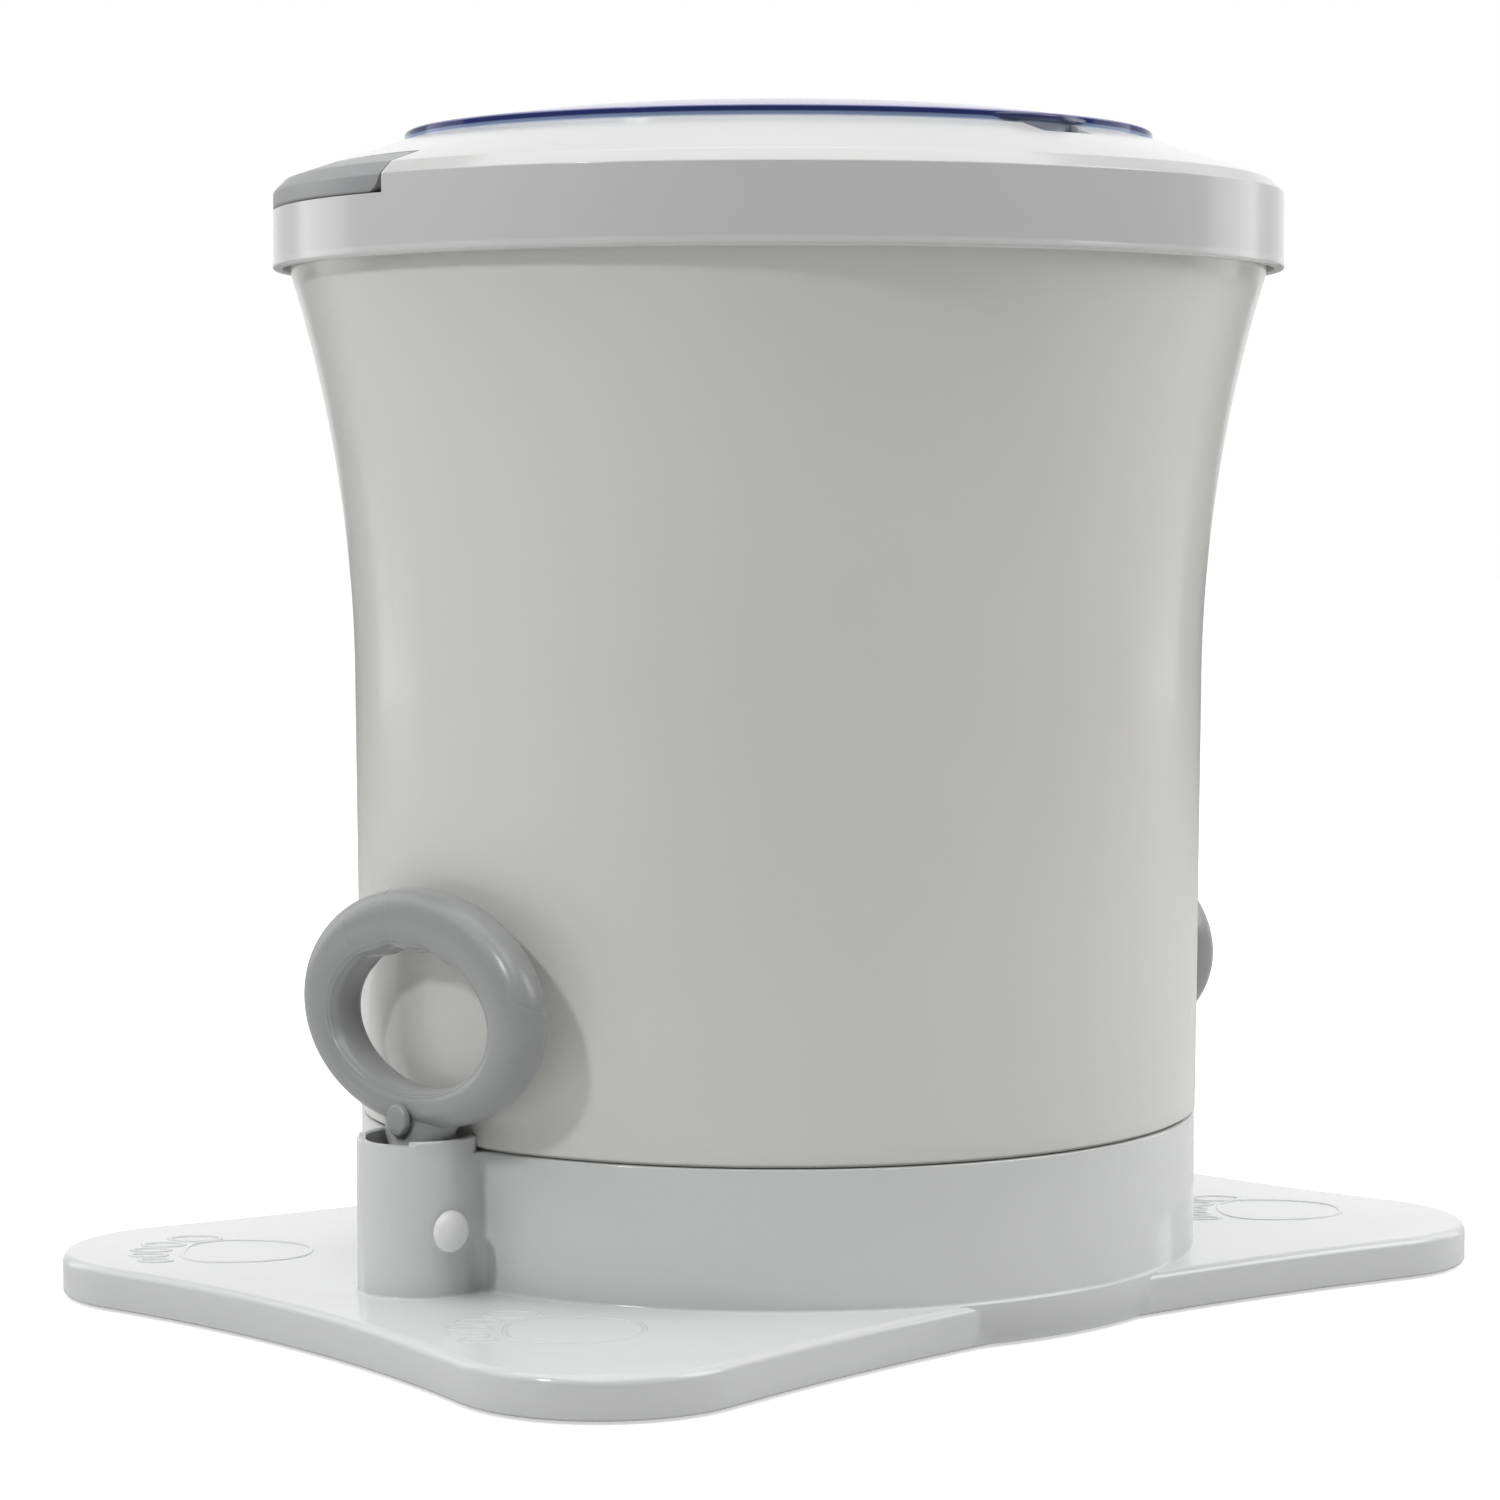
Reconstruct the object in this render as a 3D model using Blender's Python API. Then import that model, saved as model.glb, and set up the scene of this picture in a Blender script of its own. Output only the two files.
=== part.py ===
"""Hand-pulled spin dryer: a tub on a tread plate, with two pull rings that spin an inner basket.

Metres, +Z up. The origin is on the floor at the middle of the machine. X runs through the two cord
sleeves, and -Y is the front, where the window's finger tab is. Run in Blender 4.5.
"""

import math

import bmesh
import bpy
from mathutils import Matrix, Vector

MM = 0.001
GAP = 0.3 * MM  # clearance between pieces that touch
BELOW = -5 * MM  # where cutters that open underneath start
TAU = 2 * math.pi

# Tread plate and collar
COLLAR_RADIUS = 140 * MM
COLLAR_TOP = 58.2 * MM
WALL = 3 * MM
PLATE_BOTTOM = 1 * MM
PLATE_TOP = 14 * MM
PLATE_WAIST_X = 198.2 * MM
PLATE_WAIST_Y = 135.2 * MM
PLATE_CORNER = (161 * MM, 103.6 * MM)
PLATE_CORNER_RADIUS = 47.6 * MM
FOOT_RADIUS = 11 * MM
FOOT_HEIGHT = 6 * MM

# Cord sleeves beside the collar
SLEEVE_X = 151.8 * MM
SLEEVE_RADIUS = 19 * MM
SLEEVE_BORE = 16.2 * MM
SLEEVE_TOP = 63.2 * MM
MOUTH_REST = 1.2 * MM
AXLE_HOLE_RADIUS = 2.3 * MM
SLEEVE_FLOOR = 15 * MM

# Clamp posts and screws
POST_CIRCLE = 130.5 * MM
POST_RADIUS = 7 * MM
POST_ANGLES = (60, 120, 240, 300)
SCREW_RADIUS = 2 * MM
SCREW_HOLE_RADIUS = SCREW_RADIUS + 0.4 * MM

# Tub
TUB_BOTTOM = COLLAR_TOP + GAP
TUB_BOTTOM_RADIUS = 140.2 * MM
TUB_WAIST_RADIUS = 141.4 * MM
TUB_WAIST_Z = 200 * MM
TUB_FLARE_RADIUS = 465 * MM
TUB_BRIM_RADIUS = 161.8 * MM
TUB_TOP = 350 * MM
TUB_WALL = 2.5 * MM
TUB_FLOOR = 62 * MM
DRAIN_Z = 76 * MM

# Drive: pinion on the shaft, one gear on each cord spool
MODULE = 2.5 * MM
PINION_TEETH = 15
GEAR_TEETH = 45
GEAR_CENTRES = MODULE * (PINION_TEETH + GEAR_TEETH) / 2
GEAR_BOTTOM = 39 * MM
GEAR_TOP = 46.5 * MM
PRESSURE_ANGLE = math.radians(20)
BACKLASH = 0.35 * MM
SHAFT_RADIUS = 4 * MM
SHAFT_BOTTOM = 24.5 * MM
SHAFT_TOP = 106 * MM
DECK_BOTTOM = 50.3 * MM
DECK_TOP = 53.3 * MM

# Pull cord, its guide pulley and its spool
CORD_RADIUS = 1.5 * MM
CORD_Z = 28.5 * MM
PULLEY_WRAP_RADIUS = 6.5 * MM
PULLEY_X = 153.5 * MM
PULLEY_Z = CORD_Z + PULLEY_WRAP_RADIUS
DRUM_RADIUS = 20 * MM
WINDING_RADIUS = 27 * MM
CORD_LINE = WINDING_RADIUS + CORD_RADIUS + GAP
SPOOL_X = math.sqrt(GEAR_CENTRES**2 - CORD_LINE**2)
SPOOL_BOTTOM = 19.5 * MM
SPOOL_TOP = 37.5 * MM
AXLE_RADIUS = 3.5 * MM

# Pull ring
RING_X = 149.6 * MM
RING_HALF_DEPTH = 7.8 * MM
RING_OUTLINE = (58 * MM, 37.6 * MM)
RING_Z = 102.9 * MM
HOLE_OUTLINE = (39 * MM, 21.3 * MM)
HOLE_Z = 98.9 * MM
STEM_X = 155 * MM
STEM_BOTTOM = 48 * MM
NECK_X = 150.2 * MM
NECK_TOP = 68.5 * MM
ANCHOR_Z = 68 * MM
ANCHOR_RADIUS = 5.1 * MM
ANCHOR_FACE = 158.1 * MM
ANCHOR_THICKNESS = 2.3 * MM
ANCHOR_SHANK_RADIUS = 3 * MM

# Basket
BASKET_RADIUS = 122 * MM
BASKET_BOTTOM = 92 * MM
BASKET_TOP = 326 * MM
BASKET_WALL = 2 * MM

# Rim, bail and window
RIM_RADIUS = 167.4 * MM
RIM_BOTTOM = 337.3 * MM
SHOULDER_Z = 362.2 * MM
CHAMFER = (163.5 * MM, 366.1 * MM)
RIM_MOUTH = (126 * MM, 378.7 * MM)
RECESS_RADIUS = 152 * MM
RECESS_FLOOR = 356.3 * MM
RECESS_FRONT = -4.8 * MM
BAIL_NOSE = 8 * MM
BAIL_PIVOT_Y = RECESS_FRONT + 0.4 * MM + BAIL_NOSE
BAIL_PIVOT_Z = RECESS_FLOOR + GAP + BAIL_NOSE
WINDOW_RADIUS = 124.2 * MM
WINDOW_SEAT = 373.4 * MM
HINGE_Y = 128.5 * MM
HINGE_Z = 381.8 * MM

# Facets round a turned piece
LARGE = 36
MEDIUM = 18
SMALL = 12
BASKET_SIDES = 24

SIDES = {"left": -1, "right": 1}


# ---------------------------------------------------------------- materials


def make_material(name, colour, roughness, metallic=0.0, alpha=1.0):
    """A Principled material; the alpha is for the tinted window."""
    material = bpy.data.materials.new(name)
    material.use_nodes = True
    shader = material.node_tree.nodes["Principled BSDF"]
    shader.inputs["Base Color"].default_value = (*colour, 1)
    shader.inputs["Roughness"].default_value = roughness
    shader.inputs["Metallic"].default_value = metallic
    shader.inputs["Alpha"].default_value = alpha
    material.diffuse_color = (*colour, alpha)
    return material


def light_plastic(name):
    return make_material(name, (0.72, 0.73, 0.72), 0.28)


def grey_plastic(name):
    return make_material(name, (0.33, 0.34, 0.35), 0.35)


def engineering_plastic(name):
    return make_material(name, (0.88, 0.87, 0.82), 0.45)


def steel(name):
    return make_material(name, (0.62, 0.63, 0.65), 0.3, 1.0)


def rubber(name):
    return make_material(name, (0.06, 0.06, 0.07), 0.8)


def tinted_window(name):
    return make_material(name, (0.03, 0.05, 0.22), 0.08, 0.0, 0.6)


def braided_cord(name):
    return make_material(name, (0.75, 0.74, 0.70), 0.85)


# ---------------------------------------------------------------- mesh tools


def add_object(name, bm, material):
    """Puts a closed bmesh into the scene with its faces pointing out."""
    bmesh.ops.recalc_face_normals(bm, faces=bm.faces)
    mesh = bpy.data.meshes.new(name)
    bm.to_mesh(mesh)
    bm.free()
    mesh.shade_smooth()
    mesh.set_sharp_from_angle(angle=math.radians(35))
    if material:
        mesh.materials.append(material)
    obj = bpy.data.objects.new(name, mesh)
    bpy.context.scene.collection.objects.link(obj)
    return obj


def circle(radius, count, centre=(0.0, 0.0)):
    """Starts half a step round, so that a flat side, not a corner, faces along X."""
    steps = [TAU * (i + 0.5) / count for i in range(count)]
    return [(centre[0] + radius * math.cos(a), centre[1] + radius * math.sin(a)) for a in steps]


def arc(centre, radius, first, last, count):
    """Points on an arc, angles in degrees, both ends included."""
    steps = [math.radians(first + (last - first) * i / (count - 1)) for i in range(count)]
    return [(centre[0] + radius * math.cos(a), centre[1] + radius * math.sin(a)) for a in steps]


def loft(bm, rings, closed=False):
    """Joins rings of vertices; caps both ends unless the rings close on themselves."""
    count = len(rings[0])
    spans = len(rings) if closed else len(rings) - 1
    for i in range(spans):
        lower = rings[i]
        upper = rings[(i + 1) % len(rings)]
        for j in range(count):
            k = (j + 1) % count
            bm.faces.new((lower[j], lower[k], upper[k], upper[j]))
    if not closed:
        bm.faces.new(reversed(rings[0]))
        bm.faces.new(rings[-1])


def prism(name, outline, bottom, top, material=None):
    """An outline in XY, extruded from bottom to top."""
    return stack(name, [(outline, bottom), (outline, top)], material)


def stack(name, layers, material=None):
    """Outlines with equal point counts, stacked in Z."""
    bm = bmesh.new()
    loft(bm, [[bm.verts.new((x, y, z)) for x, y in outline] for outline, z in layers])
    return add_object(name, bm, material)


def turned(name, profile, segments, material=None, centre=(0.0, 0.0), span=None):
    """Turns a closed (radius, z) profile about a vertical axis; span = (first, last) degrees."""
    bm = bmesh.new()
    if span:
        angles = [math.radians(span[0] + (span[1] - span[0]) * i / segments) for i in range(segments + 1)]
    else:
        angles = [TAU * (i + 0.5) / segments for i in range(segments)]
    rings = []
    for a in angles:
        ring = [
            bm.verts.new((centre[0] + r * math.cos(a), centre[1] + r * math.sin(a), z)) for r, z in profile
        ]
        rings.append(ring)
    loft(bm, rings, closed=span is None)
    return add_object(name, bm, material)


def disc(name, radius, bottom, top, segments, material=None, centre=(0.0, 0.0)):
    return prism(name, circle(radius, segments, centre), bottom, top, material)


def box(name, low, high, material=None):
    outline = [(low[0], low[1]), (high[0], low[1]), (high[0], high[1]), (low[0], high[1])]
    return prism(name, outline, low[2], high[2], material)


def rod(name, radius, start, end, segments, material=None):
    """A round bar between two points."""
    axis = Vector(end) - Vector(start)
    obj = disc(name, radius, 0, axis.length, segments, material)
    turn = axis.to_track_quat("Z", "Y").to_matrix().to_4x4()
    obj.data.transform(Matrix.Translation(Vector(start)) @ turn)
    return obj


def boolean(obj, tool, operation):
    modifier = obj.modifiers.new(f"{operation.lower()}_{tool.name}"[:60], "BOOLEAN")
    modifier.operation = operation
    modifier.solver = "EXACT"
    modifier.object = tool
    tool.hide_render = True
    tool.display_type = "WIRE"
    return obj


def cut(obj, *tools):
    for tool in tools:
        boolean(obj, tool, "DIFFERENCE")
    return obj


def join(obj, *tools):
    for tool in tools:
        boolean(obj, tool, "UNION")
    return obj


def put_origin(obj, point):
    """Moves an object's origin to a point on its joint's axis, leaving its shape in place."""
    obj.data.transform(Matrix.Translation(-Vector(point)))
    obj.location = point
    return obj


def pivot(name, point):
    """An empty on a joint's axis."""
    empty = bpy.data.objects.new(name, None)
    empty.location = point
    empty.empty_display_size = 0.02
    bpy.context.scene.collection.objects.link(empty)
    return empty


def hang(empty, *pieces):
    """Parents pieces to an empty on their axis, keeping them in place."""
    for piece in pieces:
        piece.parent = empty
        piece.matrix_parent_inverse = Matrix.Translation(-empty.location)


# ---------------------------------------------------------------- base


def side_arc_radius(waist, along, across):
    """Radius of the hollow side that is tangent to the plate's corner rounds."""
    offset = waist - across
    return (along**2 + offset**2 - PLATE_CORNER_RADIUS**2) / (2 * (PLATE_CORNER_RADIUS - offset))


def plate_outline(inset=0.0):
    """The tread plate's edge: four round corners joined by four slightly hollow sides."""
    cx, cy = PLATE_CORNER
    hollow_x = side_arc_radius(PLATE_WAIST_X, cy, cx)
    hollow_y = side_arc_radius(PLATE_WAIST_Y, cx, cy)
    centre_x = (PLATE_WAIST_X + hollow_x, 0.0)
    centre_y = (0.0, PLATE_WAIST_Y + hollow_y)
    to_side = math.degrees(math.atan2(cy, centre_x[0] - cx))
    to_front = math.degrees(math.atan2(cx, centre_y[1] - cy))
    side = arc(centre_x, hollow_x + inset, 180, 180 - to_side, 4)[:-1]
    corner = arc((cx, cy), PLATE_CORNER_RADIUS - inset, -to_side, 90 + to_front, 9)
    back = arc(centre_y, hollow_y + inset, -90 + to_front, -90, 4)[1:]
    quarter = side + corner + back
    points = list(quarter)
    points += [(-x, y) for x, y in reversed(quarter[:-1])]
    points += [(-x, -y) for x, y in quarter[1:]]
    points += [(x, -y) for x, y in reversed(quarter[1:-1])]
    return points


def make_base_housing():
    """Tread plate, collar, cord sleeves and clamp posts in one moulding, open underneath."""
    layers = [
        (plate_outline(), PLATE_BOTTOM),
        (plate_outline(), PLATE_TOP - 4 * MM),
        (plate_outline(1.2 * MM), PLATE_TOP - 1.2 * MM),
        (plate_outline(4 * MM), PLATE_TOP),
    ]
    base = stack("base_housing", layers, light_plastic("base_plastic"))
    cut(base, prism("plate_hollow", plate_outline(WALL), BELOW, PLATE_TOP - WALL))
    join(base, disc("collar_body", COLLAR_RADIUS, PLATE_BOTTOM, COLLAR_TOP, LARGE))
    for name, sign in SIDES.items():
        centre = (sign * SLEEVE_X, 0.0)
        foot = PLATE_TOP - 2 * MM
        join(base, disc(f"sleeve_body_{name}", SLEEVE_RADIUS, foot, SLEEVE_TOP, MEDIUM, None, centre))
    cut(base, disc("drive_chamber", COLLAR_RADIUS - WALL, BELOW, COLLAR_TOP + 20 * MM, LARGE))
    for angle in POST_ANGLES:
        centre = polar(POST_CIRCLE, angle)
        join(base, disc(f"post_{angle}", POST_RADIUS, 8 * MM, DECK_BOTTOM - GAP, 8, None, centre))
        cut(base, disc(f"post_bore_{angle}", SCREW_HOLE_RADIUS, 0, DECK_TOP, 8, None, centre))
    for name, sign in SIDES.items():
        cut_sleeve(base, name, sign)
    cut(base, disc("tub_clearance", TUB_BOTTOM_RADIUS + 0.6 * MM, COLLAR_TOP, SLEEVE_TOP + 9 * MM, LARGE))
    for i, centre in enumerate(foot_places()):
        boss_top = PLATE_TOP - 2 * MM
        socket_top = FOOT_HEIGHT + GAP
        join(base, disc(f"foot_boss_{i}", FOOT_RADIUS + WALL, PLATE_BOTTOM, boss_top, SMALL, None, centre))
        cut(base, disc(f"foot_socket_{i}", FOOT_RADIUS + GAP, BELOW, socket_top, SMALL, None, centre))


def polar(radius, degrees):
    return (radius * math.cos(math.radians(degrees)), radius * math.sin(math.radians(degrees)))


def foot_places():
    x, y = PLATE_CORNER
    return [(x, y), (-x, y), (-x, -y), (x, -y)]


def cut_sleeve(base, name, sign):
    """The sleeve's bore, its pulley axle holes, the cord's way in and the shallow rest in its mouth."""
    centre = (sign * SLEEVE_X, 0.0)
    above = SLEEVE_TOP + 9 * MM
    cut(base, disc(f"sleeve_bore_{name}", SLEEVE_BORE, SLEEVE_FLOOR, above, MEDIUM, None, centre))
    reach = SLEEVE_RADIUS + 9 * MM
    ends = [(sign * PULLEY_X, -reach, PULLEY_Z), (sign * PULLEY_X, reach, PULLEY_Z)]
    cut(base, rod(f"axle_hole_{name}", AXLE_HOLE_RADIUS, *ends, 10))
    xs = sorted((sign * 130 * MM, sign * 146 * MM))
    cut(base, box(f"cord_way_{name}", (xs[0], -3 * MM, 24 * MM), (xs[1], 3 * MM, 33 * MM)))
    xs = sorted((sign * (SLEEVE_X + 4 * MM), sign * (SLEEVE_X + 30 * MM)))
    low = (xs[0], -30 * MM, SLEEVE_TOP - MOUTH_REST)
    cut(base, box(f"mouth_rest_{name}", low, (xs[1], 30 * MM, above)))


def make_bottom_cover():
    """Closes the drive chamber and carries the shaft's lower bearing and the spool axles."""
    under = 1.2 * MM
    floor = 3.7 * MM
    edge = COLLAR_RADIUS - WALL - 1.5 * MM
    pedestal = 33 * MM
    profile = [
        (5 * MM, under),
        (edge, under),
        (edge, floor),
        (15 * MM, floor),
        (15 * MM, pedestal),
        (11.3 * MM, pedestal),
        (11.3 * MM, SHAFT_BOTTOM + 0.5 * MM),
        (5 * MM, SHAFT_BOTTOM + 0.5 * MM),
    ]
    cover = turned("bottom_cover", profile, LARGE, light_plastic("cover_plastic"))
    for name, sign in SIDES.items():
        centre = spool_centre(sign)
        join(cover, disc(f"axle_boss_{name}", 8 * MM, floor - 1 * MM, 7.7 * MM, 12, None, centre))
        cut(cover, disc(f"axle_seat_{name}", AXLE_RADIUS + GAP, floor + 0.3 * MM, 9 * MM, 12, None, centre))
    for angle in POST_ANGLES:
        centre = polar(POST_CIRCLE, angle)
        join(cover, disc(f"screw_boss_{angle}", 5.4 * MM, floor - 1 * MM, 7.7 * MM, 12, None, centre))
        cut(cover, disc(f"head_recess_{angle}", 4.3 * MM, -1 * MM, 4.4 * MM, 12, None, centre))
        cut(cover, disc(f"cover_hole_{angle}", SCREW_HOLE_RADIUS, 3 * MM, 9 * MM, 8, None, centre))


def make_feet():
    for i, centre in enumerate(foot_places()):
        layers = [
            (circle(FOOT_RADIUS - 1 * MM, 12, centre), 0.0),
            (circle(FOOT_RADIUS, 12, centre), 1 * MM),
            (circle(FOOT_RADIUS, 12, centre), FOOT_HEIGHT),
        ]
        stack(f"rubber_foot_{i + 1}", layers, rubber(f"foot_rubber_{i + 1}"))


def make_clamp_screws():
    """Four long screws pull the cover, base, deck and tub together."""
    for i, angle in enumerate(POST_ANGLES):
        x, y = polar(POST_CIRCLE, angle)
        head = 3.9 * MM
        layers = [
            (circle(head - 0.8 * MM, 8, (x, y)), 1.7 * MM),
            (circle(head, 8, (x, y)), 2.6 * MM),
            (circle(head, 8, (x, y)), 4 * MM),
            (circle(SCREW_RADIUS, 8, (x, y)), 4.1 * MM),
            (circle(SCREW_RADIUS, 8, (x, y)), 59 * MM),
        ]
        stack(f"clamp_screw_{i + 1}", layers, steel(f"screw_steel_{i + 1}"))


def make_gear_deck():
    """A stiff disc on the posts that holds the upper bearing and the tops of the spool axles."""
    profile = [
        (6 * MM, 47.2 * MM),
        (15 * MM, 47.2 * MM),
        (15 * MM, DECK_BOTTOM),
        (136 * MM, DECK_BOTTOM),
        (136 * MM, DECK_TOP),
        (15 * MM, DECK_TOP),
        (15 * MM, 57.6 * MM),
        (11.3 * MM, 57.6 * MM),
        (11.3 * MM, 48.2 * MM),
        (6 * MM, 48.2 * MM),
    ]
    deck = turned("gear_deck", profile, LARGE, engineering_plastic("deck_plastic"))
    for name, sign in SIDES.items():
        centre = spool_centre(sign)
        cut(deck, disc(f"deck_axle_hole_{name}", AXLE_RADIUS + GAP, 49 * MM, 55 * MM, 12, None, centre))
    for angle in POST_ANGLES:
        centre = polar(POST_CIRCLE, angle)
        cut(deck, disc(f"deck_screw_hole_{angle}", SCREW_HOLE_RADIUS, 49 * MM, 55 * MM, 8, None, centre))


# ---------------------------------------------------------------- drive


def spool_centre(sign):
    """Each spool stands beside the X axis, so that its cord runs along the axis to the sleeve."""
    return (sign * SPOOL_X, -sign * CORD_LINE)


def involute(angle):
    return math.tan(angle) - angle


def gear_outline(teeth, centre, phase):
    """Involute teeth with straight flanks from root to tip; the first tooth points along phase."""
    pitch = MODULE * teeth / 2
    base = pitch * math.cos(PRESSURE_ANGLE)
    radii = [pitch - 1.15 * MODULE, pitch + 0.9 * MODULE]
    half = []
    for radius in radii:
        lean = involute(math.acos(base / max(radius, base)))
        width = TAU / (4 * teeth) + involute(PRESSURE_ANGLE) - lean
        half.append(width - BACKLASH / (2 * pitch))
    points = []
    for i in range(teeth):
        middle = phase + TAU * i / teeth
        flank = [(r, middle - h) for r, h in zip(radii, half)]
        flank += [(r, middle + h) for r, h in zip(reversed(radii), reversed(half))]
        points += [(centre[0] + r * math.cos(a), centre[1] + r * math.sin(a)) for r, a in flank]
    return points


def make_rotor():
    """Pinion, shaft, hub, basket and nut, all turning about the machine's middle."""
    axis = pivot("basket_axis", (0, 0, 0))
    first = math.atan2(spool_centre(-1)[1], spool_centre(-1)[0])
    pinion = prism(
        "drive_pinion",
        gear_outline(PINION_TEETH, (0, 0), first),
        GEAR_BOTTOM,
        GEAR_TOP,
        engineering_plastic("pinion_plastic"),
    )
    cut(pinion, disc("pinion_bore", SHAFT_RADIUS + GAP, GEAR_BOTTOM - 5 * MM, GEAR_TOP + 5 * MM, 16))
    shaft = disc("drive_shaft", SHAFT_RADIUS, SHAFT_BOTTOM, SHAFT_TOP, 16, steel("shaft_steel"))
    hang(axis, pinion, shaft, make_hub(), make_basket(), make_basket_nut())


def make_hub():
    profile = [
        (SHAFT_RADIUS + GAP, 86 * MM),
        (12 * MM, 86 * MM),
        (45 * MM, 89 * MM),
        (45 * MM, BASKET_BOTTOM - GAP),
        (12 * MM, BASKET_BOTTOM - GAP),
        (12 * MM, 96 * MM),
        (SHAFT_RADIUS + GAP, 96 * MM),
    ]
    return turned("basket_hub", profile, MEDIUM, engineering_plastic("hub_plastic"))


def make_basket():
    """Perforated inner basket: a floor, a slotted wall and an inward lip."""
    r = BASKET_RADIUS
    w = BASKET_WALL
    profile = [
        (12.5 * MM, BASKET_BOTTOM),
        (r - 6 * MM, BASKET_BOTTOM),
        (r, BASKET_BOTTOM + 6 * MM),
        (r, BASKET_TOP - 6 * MM),
        (r - 5 * MM, BASKET_TOP),
        (r - 12 * MM, BASKET_TOP),
        (r - 12 * MM, BASKET_TOP - w),
        (r - 5 * MM, BASKET_TOP - w),
        (r - w, BASKET_TOP - 7 * MM),
        (r - w, BASKET_BOTTOM + 7 * MM),
        (r - 7 * MM, BASKET_BOTTOM + w),
        (12.5 * MM, BASKET_BOTTOM + w),
    ]
    basket = turned("spin_basket", profile, BASKET_SIDES, light_plastic("basket_plastic"))
    bm = bmesh.new()
    slot_size = (12 * MM, 6 * MM, 52 * MM)
    rows = 3
    columns = BASKET_SIDES // 2
    for row in range(rows):
        height = BASKET_BOTTOM + (row + 0.62) * (BASKET_TOP - BASKET_BOTTOM) / (rows + 0.2)
        for i in range(columns):
            turn = Matrix.Rotation(TAU * i / columns, 4, "Z")
            place = turn @ Matrix.Translation((r - 1 * MM, 0, height))
            bmesh.ops.create_cube(bm, size=1, matrix=place @ Matrix.Diagonal((*slot_size, 1)))
    return cut(basket, add_object("basket_slots", bm, None))


def make_basket_nut():
    """A knob screwed to the shaft's top that holds the basket down."""
    profile = [
        (SHAFT_RADIUS + GAP, 96.3 * MM),
        (16 * MM, 96.3 * MM),
        (16 * MM, 103 * MM),
        (13 * MM, 107 * MM),
        (SHAFT_RADIUS + GAP, 107 * MM),
    ]
    return turned("basket_nut", profile, SMALL, grey_plastic("nut_plastic"))


def make_bearings():
    """Two ball bearings, kept whole, and the lip seal above them."""
    for name, bottom in (("lower", 25.3 * MM), ("upper", 48.5 * MM)):
        top = bottom + 7 * MM
        ring(f"shaft_bearing_{name}", SHAFT_RADIUS + GAP, 11 * MM, bottom, top, steel(f"bearing_{name}"))
    ring("shaft_seal", SHAFT_RADIUS + GAP, 9.7 * MM, 74 * MM, 81 * MM, rubber("seal_rubber"))


def ring(name, inner, outer, bottom, top, material, centre=(0.0, 0.0), segments=MEDIUM):
    profile = [(inner, bottom), (outer, bottom), (outer, top), (inner, top)]
    return turned(name, profile, segments, material, centre)


def make_spool_side(name, sign):
    """One side's axle, recoil spring and cup, spool with its winding, one-way clutch and gear."""
    x, y = spool_centre(sign)
    disc(f"spool_axle_{name}", AXLE_RADIUS, 4.4 * MM, 53 * MM, 12, steel(f"axle_steel_{name}"), (x, y))
    make_spring_cup(name, (x, y))
    make_spring(name, (x, y), sign)
    spool_axis = pivot(f"spool_axis_{name}", (x, y, CORD_Z))
    winding = ring(
        f"cord_winding_{name}",
        DRUM_RADIUS + GAP,
        WINDING_RADIUS,
        SPOOL_BOTTOM + 2.3 * MM,
        SPOOL_TOP - 2.3 * MM,
        braided_cord(f"winding_cord_{name}"),
        (x, y),
    )
    hang(spool_axis, make_spool(name, (x, y)), winding)
    gear_axis = pivot(f"gear_axis_{name}", (x, y, GEAR_BOTTOM))
    towards = math.atan2(-y, -x)
    half_tooth = math.pi / GEAR_TEETH
    phase = towards + (half_tooth if sign < 0 else 0.0)
    gear = prism(
        f"spool_gear_{name}",
        gear_outline(GEAR_TEETH, (x, y), phase),
        GEAR_BOTTOM,
        GEAR_TOP,
        engineering_plastic(f"gear_plastic_{name}"),
    )
    ends = (GEAR_BOTTOM - 5 * MM, GEAR_TOP + 5 * MM)
    cut(gear, disc(f"gear_bore_{name}", 12.3 * MM, *ends, MEDIUM, None, (x, y)))
    clutch = ring(
        f"one_way_clutch_{name}",
        7.3 * MM,
        12 * MM,
        GEAR_BOTTOM,
        GEAR_TOP - GAP,
        steel(f"clutch_steel_{name}"),
        (x, y),
    )
    hang(gear_axis, gear, clutch)


def make_spring_cup(name, centre):
    profile = [
        (AXLE_RADIUS + 1 * MM, 8 * MM),
        (27 * MM, 8 * MM),
        (27 * MM, 17.5 * MM),
        (25.5 * MM, 17.5 * MM),
        (25.5 * MM, 9.2 * MM),
        (AXLE_RADIUS + 1 * MM, 9.2 * MM),
    ]
    turned(f"spring_cup_{name}", profile, MEDIUM, engineering_plastic(f"cup_plastic_{name}"), centre)


def make_spring(name, centre, sign):
    """A flat spiral recoil spring that winds the cord back in."""
    turns = 3
    steps = 12 * turns
    inner = 7.6 * MM
    outer = 24 * MM
    thick = 0.7 * MM
    outline = []
    for edge in (0.0, thick):
        side = []
        for i in range(steps + 1):
            radius = inner + (outer - inner) * i / steps + edge
            angle = sign * TAU * turns * i / steps
            side.append((centre[0] + radius * math.cos(angle), centre[1] + radius * math.sin(angle)))
        outline += side if edge == 0.0 else reversed(side)
    prism(f"recoil_spring_{name}", outline, 9.6 * MM, 16.5 * MM, steel(f"spring_steel_{name}"))


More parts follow.
